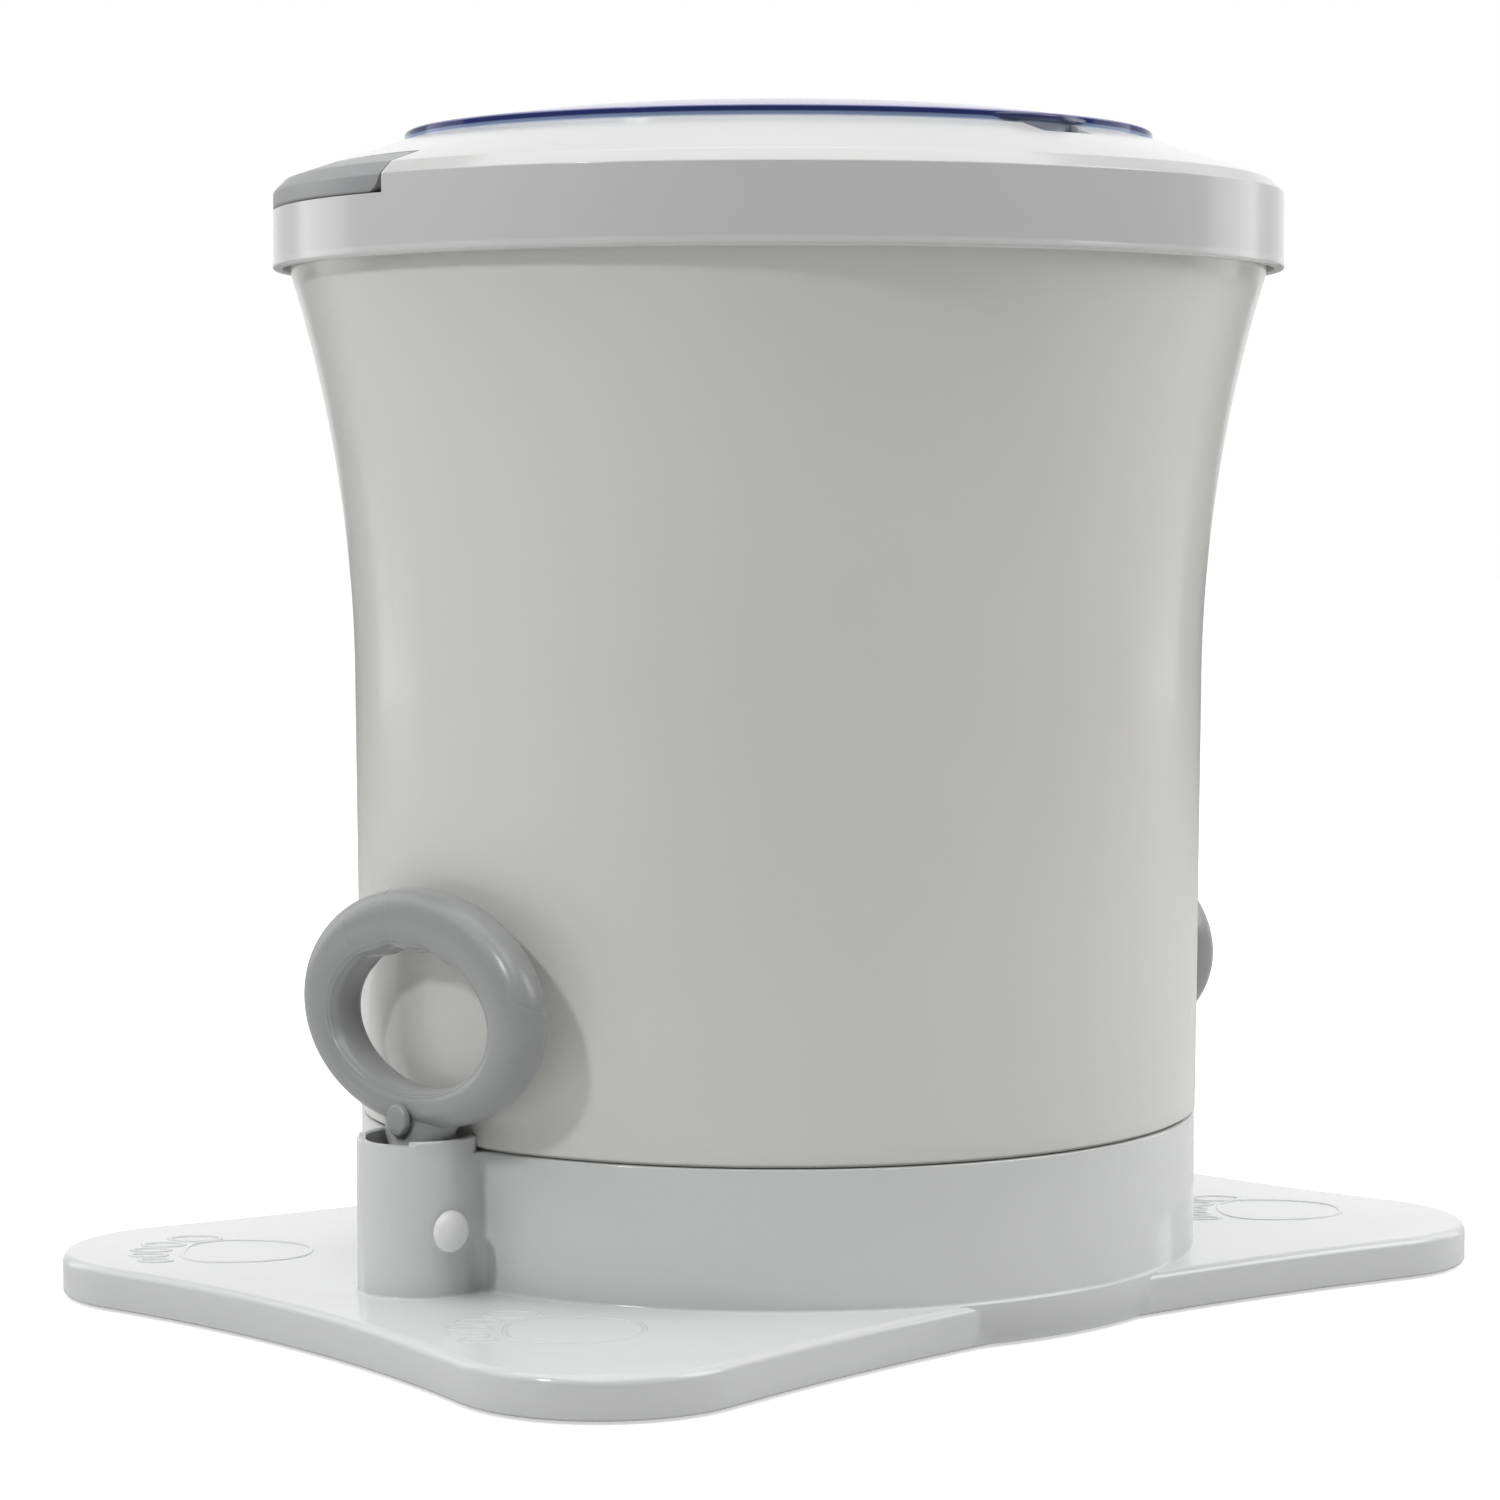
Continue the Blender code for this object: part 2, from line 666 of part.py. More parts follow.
def make_spool(name, centre):
    flange = 33 * MM
    bore = AXLE_RADIUS + GAP
    profile = [
        (bore, 9.6 * MM),
        (6.4 * MM, 9.6 * MM),
        (6.4 * MM, SPOOL_BOTTOM),
        (flange, SPOOL_BOTTOM),
        (flange, SPOOL_BOTTOM + 2 * MM),
        (DRUM_RADIUS, SPOOL_BOTTOM + 2 * MM),
        (DRUM_RADIUS, SPOOL_TOP - 2 * MM),
        (flange, SPOOL_TOP - 2 * MM),
        (flange, SPOOL_TOP),
        (7 * MM, SPOOL_TOP),
        (7 * MM, GEAR_TOP - GAP),
        (bore, GEAR_TOP - GAP),
    ]
    return turned(f"cord_spool_{name}", profile, MEDIUM, grey_plastic(f"spool_plastic_{name}"), centre)


# ---------------------------------------------------------------- cord and pull ring


def make_pulley(name, sign):
    """The guide pulley that turns the cord from upright to level, and its domed axle."""
    point = (sign * PULLEY_X, 0.0, PULLEY_Z)
    groove = PULLEY_WRAP_RADIUS - CORD_RADIUS
    flange = 8.6 * MM
    profile = [
        (2.3 * MM, -3.5 * MM),
        (flange, -3.5 * MM),
        (groove - GAP, -1.8 * MM),
        (groove - GAP, 1.8 * MM),
        (flange, 3.5 * MM),
        (2.3 * MM, 3.5 * MM),
    ]
    pulley = turned(f"guide_pulley_{name}", profile, SMALL, engineering_plastic(f"pulley_plastic_{name}"))
    pulley.data.transform(Matrix.Translation(point) @ Matrix.Rotation(math.pi / 2, 4, "X"))
    put_origin(pulley, point)
    make_pulley_axle(name, sign)


def make_pulley_axle(name, sign):
    """A pin across the sleeve with a smooth domed head on the sleeve's outside."""
    pin = 1.9 * MM
    head = 6.6 * MM
    seat = 19.2 * MM
    dome = 4.4 * MM
    layers = [(circle(pin, SMALL), -17.5 * MM), (circle(pin, SMALL), seat - 0.05 * MM)]
    layers.append((circle(head, SMALL), seat))
    for step in (0.4, 0.75, 0.95):
        layers.append((circle(head * math.sqrt(1 - step**2), SMALL), seat + dome * step))
    axle = stack(f"pulley_axle_{name}", layers, light_plastic(f"axle_cap_{name}"))
    turn = Matrix.Rotation(-sign * math.pi / 2, 4, "X")
    axle.data.transform(Matrix.Translation((sign * PULLEY_X, 0, PULLEY_Z)) @ turn)


def make_cord_guide(name, sign):
    """A disc in the sleeve that the ring's stem rests on, with a hole for the cord."""
    guide_radius = SLEEVE_BORE - 0.4 * MM
    centre = (sign * SLEEVE_X, 0.0)
    material = grey_plastic(f"guide_{name}")
    guide = disc(f"cord_guide_{name}", guide_radius, 44 * MM, 47 * MM, MEDIUM, material, centre)
    hole_centre = (sign * (STEM_X + 1 * MM), 0.0)
    cut(guide, disc(f"guide_hole_{name}", 4 * MM, 40 * MM, 50 * MM, 12, None, hole_centre))


def cord_route(sign):
    """From the stem down to the pulley, round it, and level along the X axis to the spool."""
    route = [(STEM_X + 0.2 * MM, STEM_BOTTOM - 1 * MM), (STEM_X + 2.3 * MM, 42.2 * MM)]
    wrap = arc((PULLEY_X, PULLEY_Z), PULLEY_WRAP_RADIUS, 21, -90, 6)
    route += wrap
    runs = 9
    for i in range(1, runs + 1):
        route.append((PULLEY_X + (SPOOL_X - PULLEY_X) * i / runs, CORD_Z))
    return [Vector((sign * x, 0.0, z)) for x, z in route]


def make_cord(name, sign):
    curve = bpy.data.curves.new(f"pull_cord_{name}", "CURVE")
    curve.dimensions = "3D"
    curve.bevel_depth = CORD_RADIUS
    curve.bevel_resolution = 2
    curve.use_fill_caps = True
    points = cord_route(sign)
    spline = curve.splines.new("POLY")
    spline.points.add(len(points) - 1)
    for knot, point in zip(spline.points, points):
        knot.co = (*point, 1)
    curve.materials.append(braided_cord(f"cord_{name}"))
    obj = bpy.data.objects.new(f"pull_cord_{name}", curve)
    bpy.context.scene.collection.objects.link(obj)


def make_pull_ring(name, sign):
    """An oval grip with a stem that docks in the sleeve, and the plug that hides the cord's knot."""
    bm = bmesh.new()
    rings = []
    for i in range(28):
        a = TAU * i / 28
        rim = Vector((0, RING_OUTLINE[0] * math.cos(a), RING_Z + RING_OUTLINE[1] * math.sin(a)))
        hole = Vector((0, HOLE_OUTLINE[0] * math.cos(a), HOLE_Z + HOLE_OUTLINE[1] * math.sin(a)))
        middle = (rim + hole) / 2 + Vector((sign * RING_X, 0, 0))
        section = []
        for j in range(8):
            b = TAU * j / 8
            offset = Vector((RING_HALF_DEPTH * math.sin(b), 0, 0)) + (rim - hole) * (math.cos(b) / 2)
            section.append(bm.verts.new(middle + offset))
        rings.append(section)
    loft(bm, rings, closed=True)
    grip = add_object(f"pull_ring_{name}", bm, grey_plastic(f"ring_plastic_{name}"))
    centre = (sign * STEM_X, 0.0)
    layers = [
        (oval(5.5 * MM, 5.5 * MM, sign * STEM_X), STEM_BOTTOM),
        (oval(6 * MM, 6 * MM, sign * STEM_X), 58.5 * MM),
        (oval(7.4 * MM, 13.6 * MM, sign * NECK_X), 63 * MM),
        (oval(7 * MM, 16.5 * MM, sign * NECK_X), NECK_TOP),
    ]
    join(grip, stack(f"stem_{name}", layers))
    cut(grip, disc(f"stem_bore_{name}", 2 * MM, STEM_BOTTOM - 5 * MM, 58 * MM, 8, None, centre))
    face = sign * ANCHOR_FACE
    inside = sign * 151 * MM
    far = sign * 175 * MM
    hole_ends = [(far, 0, ANCHOR_Z), (inside, 0, ANCHOR_Z)]
    cut(grip, rod(f"plug_hole_{name}", ANCHOR_SHANK_RADIUS + GAP, *hole_ends, 12))
    seat = (face - sign * GAP, -7 * MM, 61.5 * MM)
    cut(grip, box_between(f"plug_seat_{name}", seat, (far, 7 * MM, 75 * MM)))
    head = [(face, 0, ANCHOR_Z), (face + sign * ANCHOR_THICKNESS, 0, ANCHOR_Z)]
    anchor = rod(f"cord_anchor_{name}", ANCHOR_RADIUS, *head, 16)
    anchor.data.materials.append(grey_plastic(f"anchor_plastic_{name}"))
    shank = [(face + sign * MM, 0, ANCHOR_Z), (inside + sign * 0.4 * MM, 0, ANCHOR_Z)]
    join(anchor, rod(f"anchor_shank_{name}", ANCHOR_SHANK_RADIUS, *shank, SMALL))
    hang(pivot(f"pull_axis_{name}", (sign * STEM_X, 0, STEM_BOTTOM)), grip, anchor)


def oval(half_x, half_y, x, count=16):
    return [(x + px * half_x, py * half_y) for px, py in circle(1, count)]


def box_between(name, a, b):
    low = [min(p, q) for p, q in zip(a, b)]
    high = [max(p, q) for p, q in zip(a, b)]
    return box(name, low, high)


# ---------------------------------------------------------------- tub and drain


def tub_side(inset, z):
    """The tub's radius at a height: a slight draft to the waist, then a flare up to the brim."""
    if z <= TUB_WAIST_Z:
        share = (z - TUB_BOTTOM) / (TUB_WAIST_Z - TUB_BOTTOM)
        return TUB_BOTTOM_RADIUS + (TUB_WAIST_RADIUS - TUB_BOTTOM_RADIUS) * share - inset
    rise = z - TUB_WAIST_Z
    flare = TUB_FLARE_RADIUS - math.sqrt(TUB_FLARE_RADIUS**2 - rise**2)
    return min(TUB_WAIST_RADIUS + flare, TUB_BRIM_RADIUS) - inset


def make_tub():
    """The outer tub with its floor, the seal's tower, and the register and bosses under the floor."""
    heights = [TUB_BOTTOM, TUB_WAIST_Z, 240 * MM, 275 * MM, 306 * MM, 335 * MM, TUB_TOP]
    outside = [(tub_side(0, z), z) for z in heights]
    inside = [(tub_side(TUB_WALL, z), z) for z in reversed(heights[1::2])]
    inside.insert(0, (tub_side(TUB_WALL, TUB_TOP), TUB_TOP))
    inner_foot = TUB_BOTTOM_RADIUS - TUB_WALL
    profile = outside + inside
    profile += [
        (inner_foot, TUB_FLOOR + WALL),
        (16 * MM, TUB_FLOOR + WALL),
        (16 * MM, 84 * MM),
        (5.5 * MM, 84 * MM),
        (5.5 * MM, 81.8 * MM),
        (10 * MM, 81.8 * MM),
        (10 * MM, TUB_FLOOR),
        (133.2 * MM, TUB_FLOOR),
        (133.2 * MM, 54.2 * MM),
        (136 * MM, 54.2 * MM),
        (136 * MM, TUB_FLOOR - 0.2 * MM),
        (inner_foot, TUB_FLOOR - 0.2 * MM),
        (inner_foot, TUB_BOTTOM),
    ]
    tub = turned("outer_tub", profile, LARGE, light_plastic("tub_plastic"))
    for angle in POST_ANGLES:
        centre = polar(POST_CIRCLE, angle)
        join(tub, disc(f"tub_boss_{angle}", 5.2 * MM, DECK_TOP + GAP, TUB_FLOOR + 1 * MM, 8, None, centre))
        ends = (DECK_TOP - 5 * MM, 60 * MM)
        cut(tub, disc(f"tub_bore_{angle}", SCREW_HOLE_RADIUS, *ends, 8, None, centre))
    cut(tub, rod("drain_hole", 8.4 * MM, (0, 128 * MM, DRAIN_Z), (0, 150 * MM, DRAIN_Z), 20))


def make_drain():
    """A short spout at the back of the tub's floor, closed by a push-in plug."""
    profile = [
        (5.5 * MM, 135 * MM),
        (8 * MM, 135 * MM),
        (8 * MM, 141.6 * MM),
        (13 * MM, 141.6 * MM),
        (13 * MM, 143.6 * MM),
        (8 * MM, 143.6 * MM),
        (8 * MM, 158 * MM),
        (5.5 * MM, 158 * MM),
    ]
    spout = turned("drain_spout", profile, SMALL, light_plastic("spout_plastic"))
    spout.data.transform(Matrix.Translation((0, 0, DRAIN_Z)) @ Matrix.Rotation(-math.pi / 2, 4, "X"))
    layers = [
        (circle(4.8 * MM, 16), 144 * MM),
        (circle(5.2 * MM, 16), 146 * MM),
        (circle(5.2 * MM, 16), 158.3 * MM),
        (circle(9.5 * MM, 16), 158.35 * MM),
        (circle(9.5 * MM, 16), 161 * MM),
        (circle(8.5 * MM, 16), 162 * MM),
    ]
    plug = stack("drain_plug", layers, grey_plastic("plug_plastic"))
    join(plug, box("plug_grip", (-1.5 * MM, -6 * MM, 161 * MM), (1.5 * MM, 6 * MM, 166.5 * MM)))
    turn = Matrix.Translation((0, 0, DRAIN_Z)) @ Matrix.Rotation(-math.pi / 2, 4, "X")
    plug.data.transform(turn)
    bpy.data.objects["plug_grip"].data.transform(turn)
    put_origin(plug, (0, 158 * MM, DRAIN_Z))


# ---------------------------------------------------------------- rim, bail and window


def cone_z(radius, drop=0.0):
    """Height of the rim's sloping top at a radius."""
    slope = (RIM_MOUTH[1] - CHAMFER[1]) / (CHAMFER[0] - RIM_MOUTH[0])
    return CHAMFER[1] + (CHAMFER[0] - radius) * slope - drop


def back_region(name, front, bottom):
    """The half space behind a plane of constant Y, as a big block."""
    return box(name, (-0.3, front, bottom), (0.3, 0.3, 0.5))


def make_rim():
    """Skirt, shoulder and sloping top, with a ledge for the window and a recess for the bail."""
    skin = RIM_RADIUS - WALL
    inner = RECESS_RADIUS - WALL
    mouth = WINDOW_RADIUS + 0.5 * MM
    ledge = 117 * MM
    profile = [
        (skin, RIM_BOTTOM),
        (RIM_RADIUS, RIM_BOTTOM),
        (RIM_RADIUS, SHOULDER_Z),
        CHAMFER,
        RIM_MOUTH,
        (mouth, RIM_MOUTH[1]),
        (mouth, WINDOW_SEAT),
        (ledge, WINDOW_SEAT),
        (ledge, WINDOW_SEAT - 2.4 * MM),
        (mouth + WALL, WINDOW_SEAT - 2.4 * MM),
        (inner, cone_z(inner, WALL + 0.5 * MM)),
        (inner, RECESS_FLOOR - WALL),
        (skin, RECESS_FLOOR - WALL),
    ]
    rim = turned("rim_ring", profile, LARGE, light_plastic("rim_plastic"))
    recess = [
        (RECESS_RADIUS, RECESS_FLOOR),
        (RIM_RADIUS + 9 * MM, RECESS_FLOOR),
        (RIM_RADIUS + 9 * MM, 0.4),
        (RECESS_RADIUS, 0.4),
    ]
    groove = turned("bail_recess", recess, LARGE)
    boolean(groove, back_region("recess_half", RECESS_FRONT, 0.3), "INTERSECT")
    cut(rim, groove)
    outer = skin - 2.5 * MM
    pocket = [
        (RECESS_RADIUS, 350 * MM),
        (outer, 350 * MM),
        (outer, SHOULDER_Z - 1 * MM),
        (RECESS_RADIUS, cone_z(RECESS_RADIUS, WALL)),
    ]
    cut(rim, turned("front_pocket", pocket, 22, None, (0, 0), (184.5, 355.5)))
    for name, sign in SIDES.items():
        ends = [(sign * x, BAIL_PIVOT_Y, BAIL_PIVOT_Z) for x in (140 * MM, 158 * MM)]
        cut(rim, rod(f"rim_pin_hole_{name}", 1.8 * MM, *ends, 10))
        xs = sorted((sign * 11.5 * MM, sign * 20 * MM))
        low = (xs[0], 125.2 * MM, 376 * MM)
        lug = box(f"hinge_lug_{name}", low, (xs[1], HINGE_Y + 3 * MM, HINGE_Z + 2.8 * MM))
        join(rim, lug)
    ends = [(-25 * MM, HINGE_Y, HINGE_Z), (25 * MM, HINGE_Y, HINGE_Z)]
    cut(rim, rod("lug_hole", 1.8 * MM, *ends, 10))
    cut(rim, box("tab_scallop", (-11 * MM, -136 * MM, 375.2 * MM), (11 * MM, -123 * MM, 400 * MM)))
    lift = pivot("rim_axis", (0, 0, RIM_BOTTOM))
    pin = rod("hinge_pin", 1.5 * MM, (-19.5 * MM, HINGE_Y, HINGE_Z), (19.5 * MM, HINGE_Y, HINGE_Z), 10)
    pin.data.materials.append(steel("hinge_pin_steel"))
    top = 353 * MM
    material = rubber("brim_rubber")
    seal = ring("brim_seal", 158.5 * MM, 163.3 * MM, TUB_TOP + GAP, top, material, segments=LARGE)
    window_seal = ring(
        "window_seal",
        118 * MM,
        123.4 * MM,
        WINDOW_SEAT + 0.2 * MM,
        WINDOW_SEAT + 1.2 * MM,
        rubber("window_rubber"),
        segments=LARGE,
    )
    hang(lift, rim, pin, seal, window_seal)


def make_bail():
    """The carrying bail, folded into its recess round the back of the rim, and its two pins."""
    inner = RECESS_RADIUS + 0.6 * MM
    bottom = RECESS_FLOOR + GAP
    section = [
        (inner, bottom),
        (RIM_RADIUS, bottom),
        (RIM_RADIUS, SHOULDER_Z),
        CHAMFER,
        (inner, cone_z(inner)),
    ]
    bail = turned("carry_bail", section, LARGE, grey_plastic("bail_plastic"))
    axis = (BAIL_PIVOT_Y, BAIL_PIVOT_Z)
    keep = back_region("bail_half", BAIL_PIVOT_Y, 0.3)
    nose = rod("bail_nose", BAIL_NOSE, (-0.2, *axis), (0.2, *axis), 32)
    boolean(keep, nose, "UNION")
    boolean(bail, keep, "INTERSECT")
    for name, sign in SIDES.items():
        ends = [(sign * 140 * MM, *axis), (sign * 157.3 * MM, *axis)]
        cut(bail, rod(f"bail_pin_hole_{name}", 1.8 * MM, *ends, 10))
        pin = rod(f"bail_pin_{name}", 1.5 * MM, (sign * 146 * MM, *axis), (sign * 157 * MM, *axis), 10)
        pin.data.materials.append(steel(f"bail_pin_steel_{name}"))
        pin.parent = bpy.data.objects["rim_axis"]
        pin.matrix_parent_inverse = Matrix.Translation((0, 0, -RIM_BOTTOM))
    put_origin(bail, (0, *axis))


def make_window():
    """A tinted domed window in a flange, with a hinge lug at the back and a finger tab in front."""
    r = WINDOW_RADIUS
    foot = WINDOW_SEAT + 1.5 * MM
    profile = [
        (r - 5 * MM, foot),
        (r, foot),
        (r, 379.6 * MM),
        (121.5 * MM, 382.8 * MM),
        (90 * MM, 386.4 * MM),
        (45 * MM, 387.8 * MM),
        (4 * MM, 388.2 * MM),
        (4 * MM, 385.7 * MM),
        (45 * MM, 385.3 * MM),
        (90 * MM, 384 * MM),
        (r - 5 * MM, 380.4 * MM),
    ]
    window = turned("window_lid", profile, LARGE, tinted_window("window_tint"))
    join(window, disc("window_middle", 6 * MM, 385.9 * MM, 388 * MM, 12))
    lug = box("window_lug", (-11 * MM, 120.5 * MM, 379.2 * MM), (11 * MM, HINGE_Y, HINGE_Z + 2.4 * MM))
    join(window, lug)
    knuckle = rod("window_knuckle", 3.1 * MM, (-11 * MM, HINGE_Y, HINGE_Z), (11 * MM, HINGE_Y, HINGE_Z), 16)
    join(window, knuckle)
    ends = [(-15 * MM, HINGE_Y, HINGE_Z), (15 * MM, HINGE_Y, HINGE_Z)]
    cut(window, rod("knuckle_bore", 1.8 * MM, *ends, 10))
    join(window, box("finger_tab", (-9.5 * MM, -132 * MM, 378.4 * MM), (9.5 * MM, -121 * MM, 381 * MM)))
    put_origin(window, (0, HINGE_Y, HINGE_Z))


# ---------------------------------------------------------------- build


def clear_scene():
    for obj in list(bpy.data.objects):
        bpy.data.objects.remove(obj, do_unlink=True)


def main():
    clear_scene()
    make_base_housing()
    make_bottom_cover()
    make_feet()
    make_clamp_screws()
    make_gear_deck()
    make_rotor()
    make_bearings()
    make_tub()
    make_drain()
    for name, sign in SIDES.items():
        make_spool_side(name, sign)
        make_pulley(name, sign)
        make_cord_guide(name, sign)
        make_cord(name, sign)
        make_pull_ring(name, sign)
    make_rim()
    make_bail()
    make_window()


main()
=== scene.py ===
"""Looks of a hand-pulled spin dryer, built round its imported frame.

Metres, +Z up, as in the frame. X runs through the two cord sleeves and -Y is the front. The shells
that show are made again here with fine curves and rounded edges; the drive inside keeps its CAD nodes.
"""

import math

import bmesh
import bpy
from mathutils import Matrix, Vector


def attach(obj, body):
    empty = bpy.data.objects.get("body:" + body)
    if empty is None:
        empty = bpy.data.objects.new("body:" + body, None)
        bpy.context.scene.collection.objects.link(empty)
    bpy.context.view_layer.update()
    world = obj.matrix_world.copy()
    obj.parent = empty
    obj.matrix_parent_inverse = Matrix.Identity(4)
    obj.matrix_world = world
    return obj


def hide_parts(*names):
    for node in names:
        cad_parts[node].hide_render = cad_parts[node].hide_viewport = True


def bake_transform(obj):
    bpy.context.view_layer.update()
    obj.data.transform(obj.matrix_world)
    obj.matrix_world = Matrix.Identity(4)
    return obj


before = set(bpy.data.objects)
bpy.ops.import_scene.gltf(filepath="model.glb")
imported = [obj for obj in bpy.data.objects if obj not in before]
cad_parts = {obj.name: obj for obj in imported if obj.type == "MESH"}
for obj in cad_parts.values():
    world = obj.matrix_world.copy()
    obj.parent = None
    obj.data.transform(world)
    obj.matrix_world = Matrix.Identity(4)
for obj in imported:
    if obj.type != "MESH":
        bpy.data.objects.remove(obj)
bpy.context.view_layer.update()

MM = 0.001
TAU = 2 * math.pi
SIDES = {"left": -1, "right": 1}

# Base
COLLAR_RADIUS = 140 * MM
COLLAR_TOP = 58.2 * MM
WALL = 3 * MM
PLATE_BOTTOM = 1 * MM
PLATE_TOP = 14 * MM
PLATE_WAIST_X = 198.2 * MM
PLATE_WAIST_Y = 135.2 * MM
PLATE_CORNER = (161 * MM, 103.6 * MM)
PLATE_CORNER_RADIUS = 47.6 * MM
FOOT_RADIUS = 11 * MM
FOOT_HEIGHT = 6 * MM
CORNERS = ((1, 1), (-1, 1), (-1, -1), (1, -1))
MARK_PLACE = (158 * MM, 86 * MM)
MARK_TURN = -41
MARK_RIDGE = (1.8 * MM, 0.35 * MM)  # width and height
SLEEVE_X = 151.8 * MM
SLEEVE_RADIUS = 19 * MM
SLEEVE_BORE = 16.2 * MM
SLEEVE_TOP = 63.2 * MM
MOUTH_REST = 1.2 * MM
LIP_STEP = 11.7 * MM
SLEEVE_FLOOR = 15 * MM
SLEEVE_FILLET = 3.5 * MM
AXLE_HOLE = 2.3 * MM
POST_CIRCLE = 130.5 * MM
POST_RADIUS = 7 * MM
POST_TOP = 50 * MM
POST_ANGLES = (60, 120, 240, 300)
SCREW_HOLE = 2.4 * MM

# Tub
TUB_BOTTOM = 58.5 * MM
SEAM_GAP = 1.0 * MM
SEAM_DEPTH = 2.0 * MM
TUB_BOTTOM_RADIUS = 140.2 * MM
TUB_WAIST_RADIUS = 141.4 * MM
TUB_WAIST_Z = 200 * MM
TUB_FLARE_RADIUS = 465 * MM
TUB_BRIM_RADIUS = 161.8 * MM
TUB_TOP = 350 * MM
TUB_WALL = 2.5 * MM
TUB_FLOOR = 62 * MM
DRAIN_Z = 76 * MM

# Cord and pull ring
CORD_RADIUS = 1.5 * MM
CORD_Z = 28.5 * MM
CORD_STRETCH = (44 * MM, 47 * MM)  # the height where the cord pays out
PULLEY_WRAP_RADIUS = 6.5 * MM
PULLEY_X = 153.5 * MM
PULLEY_Z = 35 * MM
SPOOL_X = 69.25 * MM
SPOOL_Y = 28.8 * MM
RING_X = 149.6 * MM
RING_HALF_DEPTH = 7.8 * MM
RING_OUTLINE = (58 * MM, 37.6 * MM)
RING_Z = 102.9 * MM
HOLE_OUTLINE = (39 * MM, 21.3 * MM)
HOLE_Z = 98.9 * MM
STEM_X = 155 * MM
STEM_BOTTOM = 48 * MM
STEM_BORE_TOP = 58 * MM
GROOVE_DEPTH = 1.5 * MM
GROOVE_SHARE = 0.86  # of the hole's half length
PARTING_HEIGHT = 0.22 * MM
ANCHOR_Z = 68 * MM
ANCHOR_RADIUS = 5.1 * MM
ANCHOR_FACE = 158.1 * MM
ANCHOR_THICKNESS = 2.3 * MM

# Basket
BASKET_RADIUS = 122 * MM
BASKET_BOTTOM = 92 * MM
BASKET_TOP = 326 * MM
BASKET_WALL = 2 * MM

# Rim, bail and window
RIM_RADIUS = 167.4 * MM
RIM_BOTTOM = 337.3 * MM
SHOULDER_Z = 362.2 * MM
CHAMFER = (163.5 * MM, 366.1 * MM)
RIM_MOUTH = (126 * MM, 378.7 * MM)
RECESS_RADIUS = 152 * MM
RECESS_FLOOR = 356.3 * MM
RECESS_FRONT = -4.8 * MM
BAIL_NOSE = 8 * MM
BAIL_PIVOT_Y = 3.6 * MM
BAIL_PIVOT_Z = 364.6 * MM
PIN_HOLE = 1.8 * MM
WINDOW_RADIUS = 124.2 * MM
WINDOW_SEAT = 373.4 * MM
TAB_SPREAD = 9.5
TAB_REACH = 4.5 * MM
TAB_TOP = 381.6 * MM
TAB_THICKNESS = 1.9 * MM
HINGE_Y = 128.5 * MM
HINGE_Z = 381.8 * MM

# Where the camera stands, the way it looks (in degrees), and its focal length and sensor in millimetres
CAMERA_PLACE = (-0.9431, -1.0585, 0.2685)
CAMERA_TILT = 86.33
CAMERA_TURN = -41.32
CAMERA_LENS = 101.4
CAMERA_SENSOR = 36

# The sweep stands behind the machine, in this direction
SWEEP_SIDE = (0.66, 0.75, 0.0)
FLOOR_SIZE = 8

FINE = 192  # steps round the big turned shells
SMOOTH = 48  # steps round small turned pieces
PAST = 9 * MM  # how far a cutter reaches past what it cuts
FAR = 0.3  # beyond the whole machine


# ---------------------------------------------------------------- camera, light and floor


def make_camera():
    data = bpy.data.cameras.new("camera")
    data.lens = CAMERA_LENS
    data.sensor_width = CAMERA_SENSOR
    data.clip_start = 0.02
    camera = bpy.data.objects.new("camera", data)
    camera.location = CAMERA_PLACE
    camera.rotation_euler = (math.radians(CAMERA_TILT), 0, math.radians(CAMERA_TURN))
    bpy.context.scene.collection.objects.link(camera)
    bpy.context.scene.camera = camera


def make_world():
    """A white sweep behind the machine, and a dimmer room above it and on the near side."""
    world = bpy.data.worlds.new("studio")
    bpy.context.scene.world = world
    world.use_nodes = True
    nodes = world.node_tree.nodes
    links = world.node_tree.links
    nodes.clear()
    dot = put(nodes, "VectorMath")
    dot.operation = "DOT_PRODUCT"
    dot.inputs[1].default_value = SWEEP_SIDE
    links.new(put(nodes, "TexCoord").outputs["Generated"], dot.inputs[0])
    ramp = put(nodes, "ValToRGB")
    room = (0.04, 0.04, 0.04, 1)
    sweep = (0.56, 0.56, 0.56, 1)
    white = (1, 1, 1, 1)
    set_stops(ramp, [(0.55, room), (0.65, sweep), (0.85, sweep), (0.95, white)])
    links.new(dot.outputs["Value"], ramp.inputs["Fac"])
    light = put(nodes, "Background")
    links.new(ramp.outputs["Color"], light.inputs["Color"])
    seen = put(nodes, "Background", Color=white)
    output = put(nodes, "OutputWorld").inputs["Surface"]
    camera_sees(nodes, links, light.outputs["Background"], seen.outputs["Background"], output)


def camera_sees(nodes, links, lit, seen, output):
    """Shows one shader to the camera, and lights the scene with the other."""
    mix = put(nodes, "MixShader")
    links.new(put(nodes, "LightPath").outputs["Is Camera Ray"], mix.inputs["Fac"])
    links.new(lit, mix.inputs[1])
    links.new(seen, mix.inputs[2])
    links.new(mix.outputs["Shader"], output)


def add_softbox(name, place, aim, size, brightness):
    """A rectangular softbox; its brightness is in units of the white background."""
    data = bpy.data.lights.new(name, "AREA")
    data.shape = "RECTANGLE"
    data.size = size[0]
    data.size_y = size[1]
    data.energy = math.pi * size[0] * size[1] * brightness
    lamp = bpy.data.objects.new(name, data)
    lamp.location = place
    lamp.rotation_euler = (Vector(aim) - Vector(place)).to_track_quat("-Z", "Y").to_euler()
    bpy.context.scene.collection.objects.link(lamp)


def around(distance, degrees, height):
    """A place at a distance from the machine, by its angle from the camera's side, seen from above."""
    side = math.degrees(math.atan2(CAMERA_PLACE[1], CAMERA_PLACE[0])) + degrees
    return (*polar(distance, side), height)


